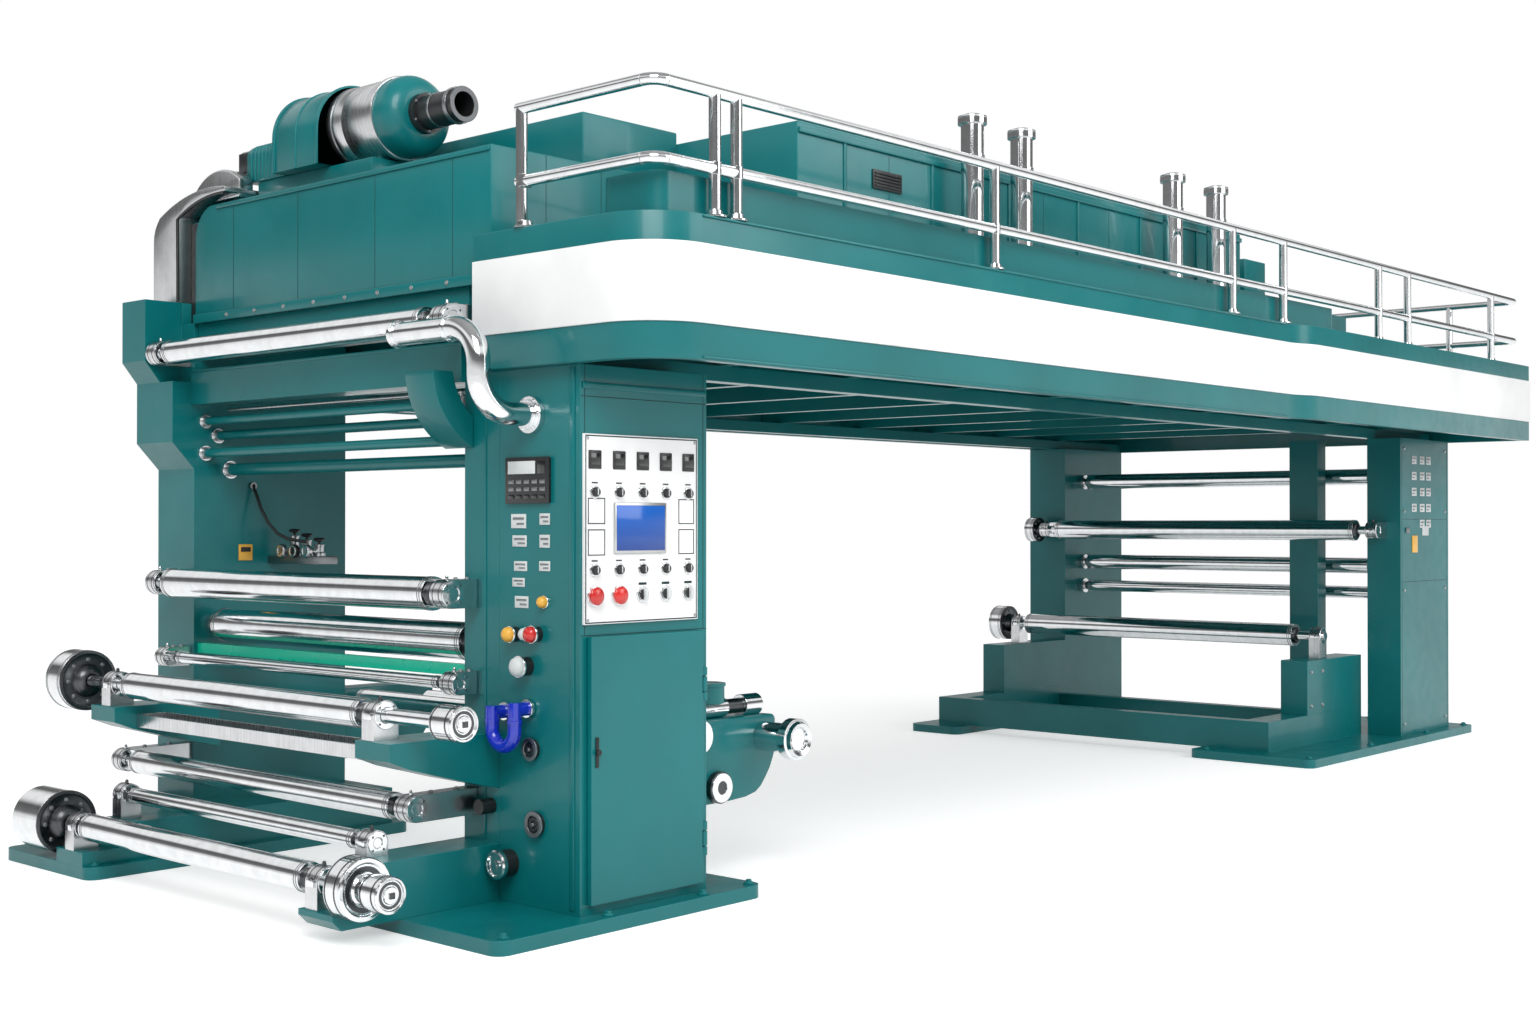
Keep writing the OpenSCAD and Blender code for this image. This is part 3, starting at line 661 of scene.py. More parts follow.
class LINE_OT_panel_controls(bpy.types.Operator):
    """Adds the screen, displays, knobs and buttons of the control panel"""

    bl_idname = "line.panel_controls"
    bl_label = "Panel controls"

    FACE = -14.0
    COLUMNS = (64.0, 196.0, 328.0, 460.0, 592.0)
    KNOB_ROWS = (1730, 1420)
    BUTTON_ROW = 1317
    FIELD_COLUMNS = (74.0, 582.0)
    FIELD_ROWS = (1655.0, 1530.0)
    LINE_WIDTH = 4.0

    def execute(self, context):
        self.displays()
        self.knobs()
        self.frames()
        self.screen()
        self.border()
        return {"FINISHED"}

    def displays(self):
        form = Form()
        for x in self.COLUMNS:
            low, high = spot(x - 34, self.FACE - 5, 1822), spot(x + 34, self.FACE, 1896)
            form.block(low, high, 0.003, 0)
            form.slab((x - 25, self.FACE - 6.5, 1838), (x + 25, self.FACE - 4, 1884), 0.001, 1)
        form.done("panel_displays", ["dark_plastic", "dark_glass"])

    def knobs(self):
        form = Form()
        for z in self.KNOB_ROWS:
            for x in self.COLUMNS:
                at = spot(x, self.FACE, z)
                form.ring(at, -ACROSS, 0.017, 0.027, 0.004, finish=1)
                form.turn(
                    [(0.0, 0.0), (0.020, 0.0), (0.019, 0.014), (0.015, 0.020), (0.0, 0.021)], at, -ACROSS, 24,
                    0,
                )
                form.slab((x - 2, self.FACE - 24, z - 12), (x + 2, self.FACE - 18, z + 14), 0.001, 2)
        for x in self.COLUMNS[:2]:
            at = spot(x, self.FACE, self.BUTTON_ROW)
            form.ring(at, -ACROSS, 0.030, 0.041, 0.006, finish=1)
            form.turn(
                [(0.0, 0.0), (0.033, 0.0), (0.036, 0.012), (0.036, 0.018), (0.028, 0.026), (0.012, 0.029),
                 (0.0, 0.0295)],
                at, -ACROSS, 32, 3,
            )
        for x in self.COLUMNS[2:]:
            at = spot(x, self.FACE, self.BUTTON_ROW)
            form.ring(at, -ACROSS, 0.020, 0.034, 0.005, finish=1)
            form.turn([(0.0, 0.0), (0.022, 0.0), (0.022, 0.012), (0.0, 0.014)], at, -ACROSS, 28, 0)
            form.slab(
                (x - 6, self.FACE - 30, self.BUTTON_ROW - 24), (x + 6, self.FACE - 12, self.BUTTON_ROW + 24),
                0.003, 2,
            )
            form.slab((x - 22, self.FACE - 1.5, 1356), (x + 22, self.FACE, 1366), 0.0005, 4)
        form.done("panel_knobs", ["dark_plastic", "chrome", "pale_plastic", "red_plastic", "seam_shadow"])

    def frames(self):
        """Outlined fields beside the screen."""
        form = Form()
        width = self.LINE_WIDTH
        for x in self.FIELD_COLUMNS:
            for z in self.FIELD_ROWS:
                for side in (-1, 1):
                    form.slab(
                        (x + side * 44 - width / 2, self.FACE - 1.5, z - 50),
                        (x + side * 44 + width / 2, self.FACE, z + 50), 0.0004,
                    )
                    form.slab(
                        (x - 46, self.FACE - 1.5, z + side * 50 - width / 2),
                        (x + 46, self.FACE, z + side * 50 + width / 2), 0.0004,
                    )
        for x in self.COLUMNS:
            form.slab((x - 16, self.FACE - 1, 1764), (x + 16, self.FACE, 1770), 0.0003)
            form.slab((x - 16, self.FACE - 1, 1454), (x + 16, self.FACE, 1460), 0.0003)
        form.done("panel_frames", ["dark_plastic"])

    def screen(self):
        form = Form()
        form.slab((166, self.FACE - 9, 1484), (458, self.FACE - 3, 1690), 0.003, 0)
        form.slab((176, self.FACE - 10, 1496), (448, self.FACE - 7, 1678), 0.001, 1)
        form.done("panel_screen", ["steel", "lit_screen"])

    def border(self):
        form = Form()
        low, high = local("control_panel")
        for z in (low.z + 4, high.z - 10):
            form.slab((low.x + 5, self.FACE - 1.2, z), (high.x - 5, self.FACE, z + 5), 0.0004, 0)
        for x in (low.x + 4, high.x - 10):
            form.slab((x, self.FACE - 1.2, low.z + 5), (x + 5, self.FACE, high.z - 5), 0.0004, 0)
        for x in (low.x + 18, high.x - 18):
            for z in (low.z + 18, high.z - 18):
                form.bolt(spot(x, self.FACE, z), -ACROSS, 0.005, finish=1)
        form.done("panel_border", ["seam_shadow", "steel"])


class LINE_OT_side_fittings(bpy.types.Operator):
    """Adds the display, labels, lamps and plugs on the operator side's narrow face"""

    bl_idname = "line.side_fittings"
    bl_label = "Side fittings"

    LABELS = (
        (369, 1615, 92, 58), (209, 1623, 62, 46), (363, 1534, 88, 46), (209, 1534, 62, 52),
        (357, 1432, 80, 40), (209, 1434, 66, 40), (369, 1366, 76, 36), (350, 1286, 84, 48),
    )

    def execute(self, context):
        self.display()
        self.labels()
        self.lamps()
        self.plugs()
        return {"FINISHED"}

    def display(self):
        form = Form()
        form.slab((-17, 168, 1686), (-10, 437, 1874), 0.003, 0)
        form.slab((-19, 250, 1806), (-16, 418, 1858), 0.001, 1)
        form.slab((-19, 190, 1806), (-16, 236, 1858), 0.001, 2)
        for row in range(3):
            for count in range(5):
                y = 206 + count * 48
                form.slab(
                    (-20, y - 15, 1706 + row * 30), (-16, y + 15, 1722 + row * 30), 0.001, 3 if row else 2,
                )
        form.done("side_display", ["dark_plastic", "pale_plastic", "dark_glass", "cast_steel"])

    def labels(self):
        form = Form()
        for y, z, width, height in self.LABELS:
            low, high = spot(-3, y - width / 2, z - height / 2), spot(0, y + width / 2, z + height / 2)
            form.block(low, high, 0.001, 0)
            form.slab(
                (-4, y - width * 0.38, z + height * 0.08), (-2.5, y + width * 0.38, z + height * 0.26),
                0.0003, 1,
            )
            form.slab(
                (-4, y - width * 0.38, z - height * 0.28), (-2.5, y + width * 0.12, z - height * 0.12),
                0.0003, 1,
            )
        form.done("side_labels", ["pale_plastic", "cast_steel"])

    def dome(self, form, y, z, radius, front, finish):
        at = spot(front, y, z)
        form.ring(at, -ALONG, radius * 0.8, radius * 1.12, 0.008, finish=0)
        form.turn(
            [(0.0, 0.0), (radius, 0.0), (radius, 0.014), (radius * 0.92, 0.024), (radius * 0.7, 0.032),
             (radius * 0.35, 0.037), (0.0, 0.038)],
            at, -ALONG, 32, finish,
        )

    def lamps(self):
        form = Form()
        self.dome(form, 209, 1290, 0.024, 0, 2)
        self.dome(form, 387, 1154, 0.031, -30, 2)
        self.dome(form, 251, 1159, 0.033, -30, 1)
        self.dome(form, 313, 1157, 0.026, -6, 3)
        self.dome(form, 313, 1027, 0.040, -45, 3)
        form.done("side_lamps", ["chrome", "red_plastic", "yellow_plastic", "pale_plastic"])

    def plugs(self):
        form = Form()
        for y, z, radius, depth in ((281, 694, 0.043, -16), (256, 394, 0.049, -16)):
            at = spot(depth, y, z)
            form.ring(at, -ALONG, radius * 0.72, radius * 1.1, 0.007, finish=0)
            form.ring(at, -ALONG, radius * 0.30, radius * 0.62, 0.004, finish=1)
            form.turn(
                [(0.0, 0.0), (radius * 0.22, 0.0), (radius * 0.18, 0.010), (0.0, 0.012)], at, -ALONG, 6, 0,
            )
        at = spot(-60, 420, 220)
        form.turn(
            [(0.0, 0.0), (0.058, 0.0), (0.060, 0.006), (0.060, 0.020), (0.054, 0.026), (0.046, 0.026),
             (0.042, 0.016), (0.020, 0.016), (0.017, 0.028), (0.0, 0.029)],
            at, -ALONG, 48, 2,
        )
        form.done("side_plugs", ["cast_steel", "dark_steel", "chrome"])


class LINE_OT_seams(bpy.types.Operator):
    """Adds the seams, lips and strips of the sheet metal"""

    bl_idname = "line.seams"
    bl_label = "Seams"

    # Places along or across the line, in millimetres
    HEAD_SIDE_SEAMS = (800, 1350, 1950, 2500)
    HEAD_END_SEAMS = (300, 620)
    TUNNEL_SEAMS = (1900, 2560, 3220, 3880, 4540, 5200)
    TUNNEL_RIBS = (1560, 2230, 2890, 3550, 4210, 4870)
    BAND_JOINTS = (1600, 3000, 4400)

    def execute(self, context):
        sizes = context.scene.line_sizes
        self.width = sizes.seam_width / MM
        self.depth = sizes.seam_depth / MM
        self.cabinet()
        self.head()
        self.tunnel()
        self.fascia()
        return {"FINISHED"}

    def strip(self, form, low, high, finish=0):
        form.slab(low, high, 0.0003, finish, 1)

    def cabinet(self):
        form = Form()
        wide, out = self.width, self.depth
        high = local("operator_cabinet")[1]
        right = high.x
        panel = local("control_panel")
        for z in (2108, panel[0].z - 45):
            self.strip(form, (2, -out, z), (right - 2, 0, z + wide))
        for x in (22, right - 22):
            self.strip(form, (x, -out, 2112), (x + wide, 0, high.z))
            self.strip(form, (x, -out, panel[0].z - 42), (x + wide, 0, 2108))
        form.done("cabinet_seams", ["seam_shadow"])
        form = Form()
        form.slab((10, -9, 2140), (right - 10, 0, 2166), 0.003)
        form.slab((-5, 30, 75), (0, 58, 2225), 0.002)
        form.slab((-4, 574, 300), (0, 584, 2225), 0.001)
        form.done("cabinet_trim", ["teal_paint"])
        form = Form()
        form.slab((56, -34, 640), (72, -28, 760), 0.002, 0)
        form.rod(spot(64, -34, 700), spot(64, -46, 700), 0.012, finish=0)
        form.done("door_latch", ["black_paint"], body="cabinet_door")

    def head(self):
        form = Form()
        low, high = local("head_housing")
        top = high.z
        for y in self.HEAD_SIDE_SEAMS:
            self.strip(form, (-self.depth, y, low.z + 46), (0, y + self.width, top - 4))
        for x in self.HEAD_END_SEAMS:
            self.strip(form, (x, low.y - self.depth, low.z + 200), (x + self.width, low.y, top - 4))
        form.done("head_seams", ["seam_shadow"])
        form = Form()
        form.slab((-16, low.y + 4, low.z - 6), (0, 2846, low.z + 40), 0.004)
        form.slab((-9, low.y + 6, top - 26), (0, 2650, top - 10), 0.003)
        form.done("head_lips", ["teal_paint"])
        form = Form()
        form.slab((52, 2850, low.z + 4), (60, 2976, top - 62), 0.002)
        form.slab((-24, 2978, 2725), (-18, 2992, 3130), 0.002)
        form.done("head_gasket", ["black_paint"])
        form = Form()
        for y in range(820, 2536, 245):
            form.bolt(spot(-16, y, low.z + 18), -ALONG, 0.008)
        form.done("head_bolts", ["steel"])

    def tunnel(self):
        form = Form()
        low, high = local("drying_tunnel")
        front = low.y
        for x in self.TUNNEL_SEAMS:
            self.strip(form, (x, front - self.depth, 2990), (x + self.width, front, high.z - 60))
        form.done("tunnel_seams", ["seam_shadow"])
        form = Form()
        form.slab((1244, front - 12, 3345), (5436, front, 3372), 0.004)
        form.slab((1244, front - 12, 2980), (5436, front, 3000), 0.004)
        for x in self.TUNNEL_RIBS:
            form.slab((x, front - 8, 3020), (x + 18, front, 3345), 0.003)
        form.done("tunnel_ribs", ["teal_paint"])
        form = Form()
        form.slab((1770, front - 10, 3170), (1990, front - 2, 3260), 0.003, 0)
        for count in range(5):
            z = 3180 + count * 15
            form.slab((1780, front - 16, z), (1980, front - 9, z + 7), 0.001, 1)
        form.done("tunnel_vent", ["dark_plastic", "black_paint"])

    def fascia(self):
        form = Form()
        low, high = local("bridge_fascia")
        band = local("fascia_band")
        for z in (low.z + 6, high.z - 12):
            form.slab((low.x + 262, -481, z), (5200, -475, z + 8), 0.002)
        form.done("fascia_lips", ["teal_paint"])
        form = Form()
        for x in self.BAND_JOINTS:
            self.strip(
                form, (x, band[0].y + 60 - self.depth, band[0].z + 1),
                (x + 1.5, band[0].y + 60, band[1].z - 1),
            )
        form.done("band_joints", ["pale_plastic"])


def arc(centre, radius, start, end, steps):
    """Points on an arc between two angles in degrees, in the plane of a profile."""
    turn = [math.radians(start + (end - start) * count / steps) for count in range(steps + 1)]
    return [(centre[0] + radius * math.cos(angle), centre[1] + radius * math.sin(angle)) for angle in turn]


def across_outline(points, x):
    """A profile drawn in Y and Z as points at one X."""
    return [spot(x, y, z) for y, z in points]


def side_outline(points, y):
    """A profile drawn in X and Z as points at one Y."""
    return [spot(x, y, z) for x, z in points]


class LINE_OT_head_shell(bpy.types.Operator):
    """Builds the head housing, its crowned drive side band and the beam under it"""

    bl_idname = "line.head_shell"
    bl_label = "Head shell"

    END = 2850.0
    CORNER_RADIUS = 160.0

    def execute(self, context):
        low, high = local("head_housing")
        end, corner = self.END, self.CORNER_RADIUS
        profile = [(low.y, low.z), (end, low.z)]
        profile += arc((end - corner, high.z - corner), corner, 0, 90, 14)
        profile += [(low.y, high.z)]
        form = Form()
        form.plate(across_outline(profile, 0), ALONG * high.x * MM, 0.006)
        form.slab((60, end - corner, low.z), (high.x, 2978, 3130), 0.004)
        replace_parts(form.done("head_shell", ["teal_paint"]), "head_housing")
        self.band(low)
        self.cowl()
        form = Form()
        form.slab((20, OPERATOR_FACE, 2440), (200, DRIVE_FACE, low.z), 0.006)
        form.slab((-20, OPERATOR_FACE, 2356), (0, DRIVE_FACE, 2372), 0.004)
        form.done("head_beam", ["teal_paint"])
        return {"FINISHED"}

    def band(self, low):
        foot = 2721.0
        profile = [(3220, foot), (3220, 3045), (3216, 3084), (3203, 3117), (3184, 3143)]
        crown = arc((2700, 2168), 1100, 65.2, 97.8, 16)
        profile += crown
        profile += reversed(arc((2600, 2333), 900, 64.9, 93.2, 12))
        profile += [(2982, foot)]
        form = Form()
        form.plate(across_outline(profile, -20), ALONG * 0.320, 0.005)
        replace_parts(form.done("head_band", ["band_steel"]), "head_edge_band")
        form = Form()
        form.slab((0, 2978, low.z), (898, 3200, foot), 0.004)
        form.done("head_riser", ["teal_paint"])
        form = Form()
        inner = arc((2600, 2333), 893, 64.6, 93.2, 12)
        form.pipe([spot(-22, 2976, foot + 6), *across_outline(inner, -22)], 0.008, 10)
        form.done("head_band_gasket", ["dark_plastic"])

    def cowl(self):
        profile = arc((2740, 3052), 320, 30.8, 125.8, 20) + [(2553, 3215)]
        form = Form()
        form.plate(across_outline(profile, 60), ALONG * 0.085, 0.012)
        form.done("head_cowl", ["band_steel"])


class LINE_OT_blower(bpy.types.Operator):
    """Builds the blower on the head: base, motor, scroll, drum and bell"""

    bl_idname = "line.blower"
    bl_label = "Blower"

    def execute(self, context):
        pipe_low, pipe_high = local("outlet_pipe")
        self.x = (pipe_low.x + pipe_high.x) / 2
        self.z = (pipe_low.z + pipe_high.z) / 2
        self.base()
        self.scroll()
        self.drum()
        self.outlet()
        return {"FINISHED"}

    def base(self):
        top = local("head_housing")[1].z
        seat = self.z - 195
        form = Form()
        form.slab((self.x - 160, 1600, top), (self.x + 200, 2540, seat), 0.006)
        form.slab((self.x + 80, 1420, top), (self.x + 240, 1660, seat - 4), 0.010)
        profile = [(self.x - 170, seat), (self.x + 160, seat)]
        profile += arc((self.x + 100, seat + 130), 60, 0, 90, 8) + arc(
            (self.x - 110, seat + 130), 60, 90, 180, 8,
        )
        form.plate(side_outline(profile, 2290), ACROSS * 0.334, 0.005)
        for count in range(9):
            y = 2322 + count * 32
            rib = [(self.x - 174, seat + 10), (self.x + 164, seat + 10)]
            rib += arc((self.x + 100, seat + 130), 64, 0, 90, 8) + arc(
                (self.x - 110, seat + 130), 64, 90, 180, 8,
            )
            form.plate(side_outline(rib, y), ACROSS * 0.010, 0.001)
        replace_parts(form.done("blower_stand", ["teal_paint"]), "blower_base")
        form = Form()
        form.slab((self.x - 150, 2624, seat + 47), (self.x + 140, 2740, seat + 177), 0.024, 0, 4)
        form.slab((self.x - 154, 2640, seat + 60), (self.x - 148, 2724, seat + 164), 0.002, 1)
        form.done("blower_cap", ["cast_steel", "dark_steel"])

    def scroll(self):
        seat = self.z - 195
        radius, centre = 235.0, (self.x, self.z - 33)
        form = Form()
        for grow, y, depth in ((0, 1920, 0.370), (7.5, 1920, 0.012), (7.5, 2278, 0.012), (5, 2098, 0.010)):
            wide = radius + grow
            profile = [(self.x - wide, seat), (self.x + wide, seat)] + arc(centre, wide, 0, 180, 36)
            form.plate(side_outline(profile, y), ACROSS * depth, 0.002)
        bell = [(0.0, 0.0), (0.188, 0.0), *arc((0.100, 0.053), 0.088, 0, 90, 10), (0.0, 0.141)]
        form.turn(bell, spot(self.x, 1556, self.z), -ACROSS, 56)
        form.bolts(spot(self.x, 1548, self.z), -ACROSS, 0.176, 8, 0.006, 22.5)
        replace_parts(form.done("blower_case", ["teal_paint"]), "blower_scroll")

    def drum(self):
        form = Form()
        form.turn(
            [(0.0, 0.0), (0.188, 0.0), (0.190, 0.004), (0.190, 0.120), (0.1885, 0.122), (0.190, 0.124),
             (0.190, 0.332), (0.196, 0.336), (0.196, 0.362), (0.190, 0.364), (0.0, 0.364)],
            spot(self.x, 1920, self.z), -ACROSS, 64, 0,
        )
        form.slab((self.x - 80, 1640, self.z - 196), (self.x + 80, 1900, self.z - 150), 0.004, 1)
        form.ring(spot(self.x, 1896, self.z), -ACROSS, 0.189, 0.194, 0.018, 64, 2)
        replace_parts(form.done("blower_shell", ["band_steel", "teal_paint", "cast_steel"]), "blower_drum")

    def outlet(self):
        form = Form()
        at = spot(self.x, 1130, self.z)
        form.ring(at, -ACROSS, 0.056, 0.081, 0.006, 48, 0)
        form.ring(spot(self.x, 1180, self.z), -ACROSS, 0.0765, 0.084, 0.022, 48, 1)
        form.ring(spot(self.x, 1300, self.z), -ACROSS, 0.0765, 0.081, 0.012, 48, 1)
        form.bolts(spot(self.x, 1380, self.z), -ACROSS, 0.084, 6, 0.006, 30, finish=1)
        form.done("outlet_rings", ["dark_steel", "cast_steel"])


class LINE_OT_bridge_shell(bpy.types.Operator):
    """Builds the fascia with its curved step, the white band, the drying tunnel and the rail bends"""

    bl_idname = "line.bridge_shell"
    bl_label = "Bridge shell"

    STEP_X = 5227.0
    STEP_LENGTH = 290.0
    STEP_OUT = 60.0
    FASCIA_END = 589.0
    RAIL_POSTS = (300, 424, 2213, 4578, 5223, 6603, 7079, 8619)

    def execute(self, context):
        self.fascia()
        self.band()
        self.tunnel()
        self.rails()
        return {"FINISHED"}

    def step(self):
        """The curved step outwards as two equal arcs."""
        length, out = self.STEP_LENGTH, self.STEP_OUT
        radius = (length * length + out * out) / (4 * out)

        def rise(x):
            return radius - math.sqrt(radius * radius - x * x)

        xs = [length * count / 16 for count in range(17)]
        return [(x, rise(x) if x < length / 2 else out - rise(length - x)) for x in xs]

    def path(self, grow, back, near):
        """The outline of the fascia, grown outwards, as points in X and Y."""
        low, high = local("bridge_fascia")
        left, front = low.x - grow, -475.0 - grow
        radius = 260.0 + grow
        points = [(left, near)] + arc((left + radius, front + radius), radius, 180, 270, 18)
        points += [(self.STEP_X + x, front - out) for x, out in self.step()]
        points += [(high.x + grow, front - self.STEP_OUT), (high.x + grow, back)]
        return points

    def shell(self, form, low, high, outer, inner):
        outline = outer + list(reversed(inner))
        points = [spot(x, y, low) for x, y in outline]
        form.plate(points, UP * (high - low) * MM, 0.003)

    def fascia(self):
        low, high = local("bridge_fascia")
        form = Form()
        outer = self.path(0, high.y, self.FASCIA_END) + [(918, high.y)]
        inner = self.path(-60, high.y - 60, self.FASCIA_END) + [(918, high.y - 60)]
        self.shell(form, low.z, high.z, outer, inner)
        form.slab((5500, -478, high.z - 60), (6745, -412, high.z), 0.001)
        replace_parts(form.done("fascia_shell", ["teal_paint"], smooth=30), "bridge_fascia")

    def band(self):
        low, high = local("fascia_band")
        form = Form()
        self.shell(
            form, low.z, high.z, self.path(8, 717, self.FASCIA_END), self.path(0, 717, self.FASCIA_END),
        )
        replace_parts(form.done("white_band", ["white_paint"], smooth=30), "fascia_band")

    def tunnel(self):
        low, high = local("drying_tunnel")
        deck, head = low.z, local("head_housing")[1].z
        form = Form()
        form.slab((640, 690, head), (1240, 2700, high.z + 51), 0.008)
        form.slab((908, 692, deck), (1238, 2698, high.z + 20), 0.006)
        form.slab((1240, low.y, deck), (5440, 3000, high.z), 0.010)
        form.slab((5735, 60, deck), (6020, 2900, high.z - 104), 0.008)
        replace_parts(form.done("tunnel_shell", ["teal_paint"]), "drying_tunnel")

    def rails(self):
        low, high = local("rail_front")
        tube = (high.y - low.y) / 2
        y = low.y + tube
        side = local("rail_near_end")
        near = (side[0].x + side[1].x) / 2
        far_side = local("rail_far_end")
        far = (far_side[0].x + far_side[1].x) / 2
        bend = low.x - near
        form = Form()
        for z in (high.z - tube, 2990.0):
            for x, last in ((near + bend, 180), (far - bend, 360)):
                corner = [spot(px, py, z) for px, py in arc((x, y + bend), bend, 270, last, 8)]
                form.pipe(corner, (tube - 0.2) * MM, 20)
        posts = [(x, y) for x in self.RAIL_POSTS]
        posts += [(near, side[1].y - 44), (far, y + 500), (far, 1517), (far, 3120)]
        for px, py in posts:
            form.ring(spot(px, py, 2799), UP, 0.0245, 0.046, 0.008, 28)
            form.turn(
                [(0.0245, 0.0), (0.032, 0.0), (0.030, 0.018), (0.0245, 0.022)], spot(px, py, 2807), UP, 28,
                closed=True,
            )
            form.ring(spot(px, py, 2965), UP, 0.0245, 0.0275, 0.050, 28)
        form.done("rail_bends", ["chrome"])


class LINE_OT_pipes_and_guards(bpy.types.Operator):
    """Builds the bent pipe, the curved guard and the rear arm"""

    bl_idname = "line.pipes_and_guards"
    bl_label = "Pipes and guards"

    def execute(self, context):
        self.pipe()
        self.guard()
        self.rear()
        return {"FINISHED"}

    def pipe(self):
        bend, x, y, low, top = 150.0, -280.0, 283.0, 2044.0, 2384.0
        points = side_outline([(-4, low)] + arc((x + bend, low + bend), bend, 270, 180, 10), y)
        points += across_outline(arc((y + bend, top - bend), bend, 180, 90, 10) + [(800, top)], x)
        form = Form()
        form.pipe(points, 0.048, 32)
        form.ring(spot(-26, y, low), ALONG, 0.046, 0.075, 0.026, 40)
        form.ring(spot(-34, y, low), ALONG, 0.047, 0.060, 0.010, 40)
        form.ring(spot(x, 790, top), ACROSS, 0.046, 0.058, 0.020, 40)
        form.ring(spot(x, y + bend + 20, top), ACROSS, 0.047, 0.054, 0.014, 40)
        form.bolts(spot(-26, y, low), -ALONG, 0.064, 6, 0.006)
        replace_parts(form.done("suction_pipe", ["chrome"]), "bent_pipe")

    def guard(self):
        outline = arc((147, 2251), 362, 182.4, 246.0, 18) + arc((167, 2273), 278, 233.1, 187.6, 16)
        form = Form()
        form.plate(side_outline(outline, 657), ACROSS * 0.190, 0.006)
        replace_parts(form.done("guard_shell", ["teal_paint"]), "dancer_guard")

    def rear(self):
        outline = [
            (718, 340), (1188, 345), (1300, 352), (1364, 367), (1402, 392), (1433, 428), (1466, 474),
            (1489, 525), (1500, 560), (1500, 700), (1485, 719), (718, 719),
        ]
        form = Form()
        form.plate(side_outline(outline, 300), ACROSS * 0.170, 0.008)
        form.plate(
            side_outline([(x + 2, z) if x > 718 else (898, z) for x, z in outline], 2876), ACROSS * 0.170,
            0.008,
        )
        form.done("rear_arm_plates", ["teal_paint"])
        form = Form()
        form.turn(
            [(0.0, 0.0), (0.050, 0.0), (0.056, -0.012), (0.074, -0.020), (0.082, 0.0), (0.095, 0.002),
             (0.095, 0.046), (0.088, 0.052), (0.068, 0.054), (0.068, 0.216), (0.050, 0.220), (0.050, 0.400),
             (0.061, 0.404), (0.061, 2.700), (0.0, 2.700)],
            spot(1410, 84, 622), ACROSS, 56, 0,
        )
        form.rod(spot(718, 385, 764), spot(1228, 385, 764), 0.045, 32, 0)
        form.rod(spot(1343, 385, 764), spot(1454, 385, 764), 0.050, 32, 0)
        form.rod(spot(1228, 385, 764), spot(1343, 385, 764), 0.034, 32, 1)
        form.rod(spot(1125, 385, 790), spot(1125, 385, 880), 0.080, 40, 2)
        form.ring(spot(1125, 385, 868), UP, 0.055, 0.086, 0.014, 40, 2)
        form.rod(spot(1102, 270, 418), spot(1102, 312, 418), 0.072, 40, 1)
        form.ring(spot(1102, 270, 418), -ACROSS, 0.030, 0.066, 0.006, 40, 0)
        form.done("rear_guide_end", ["chrome", "dark_steel", "teal_paint"])


def on_axis(node, y):
    """A point on a roller's axis, at a place along it in millimetres."""
    axis = AXES[node]
    return Vector((axis.x, CORNER.y + y * MM, axis.z))


def drum_span(node, radius):
    """The first and last place along its axis where a roller has this radius, in millimetres."""
    axis = AXES[node]
    near = [
        vertex.co.y for vertex in NODES[node].data.vertices
        if abs(math.hypot(vertex.co.x - axis.x, vertex.co.z - axis.z) - radius * MM) < 0.0008
    ]
    return (min(near) - CORNER.y) / MM, (max(near) - CORNER.y) / MM


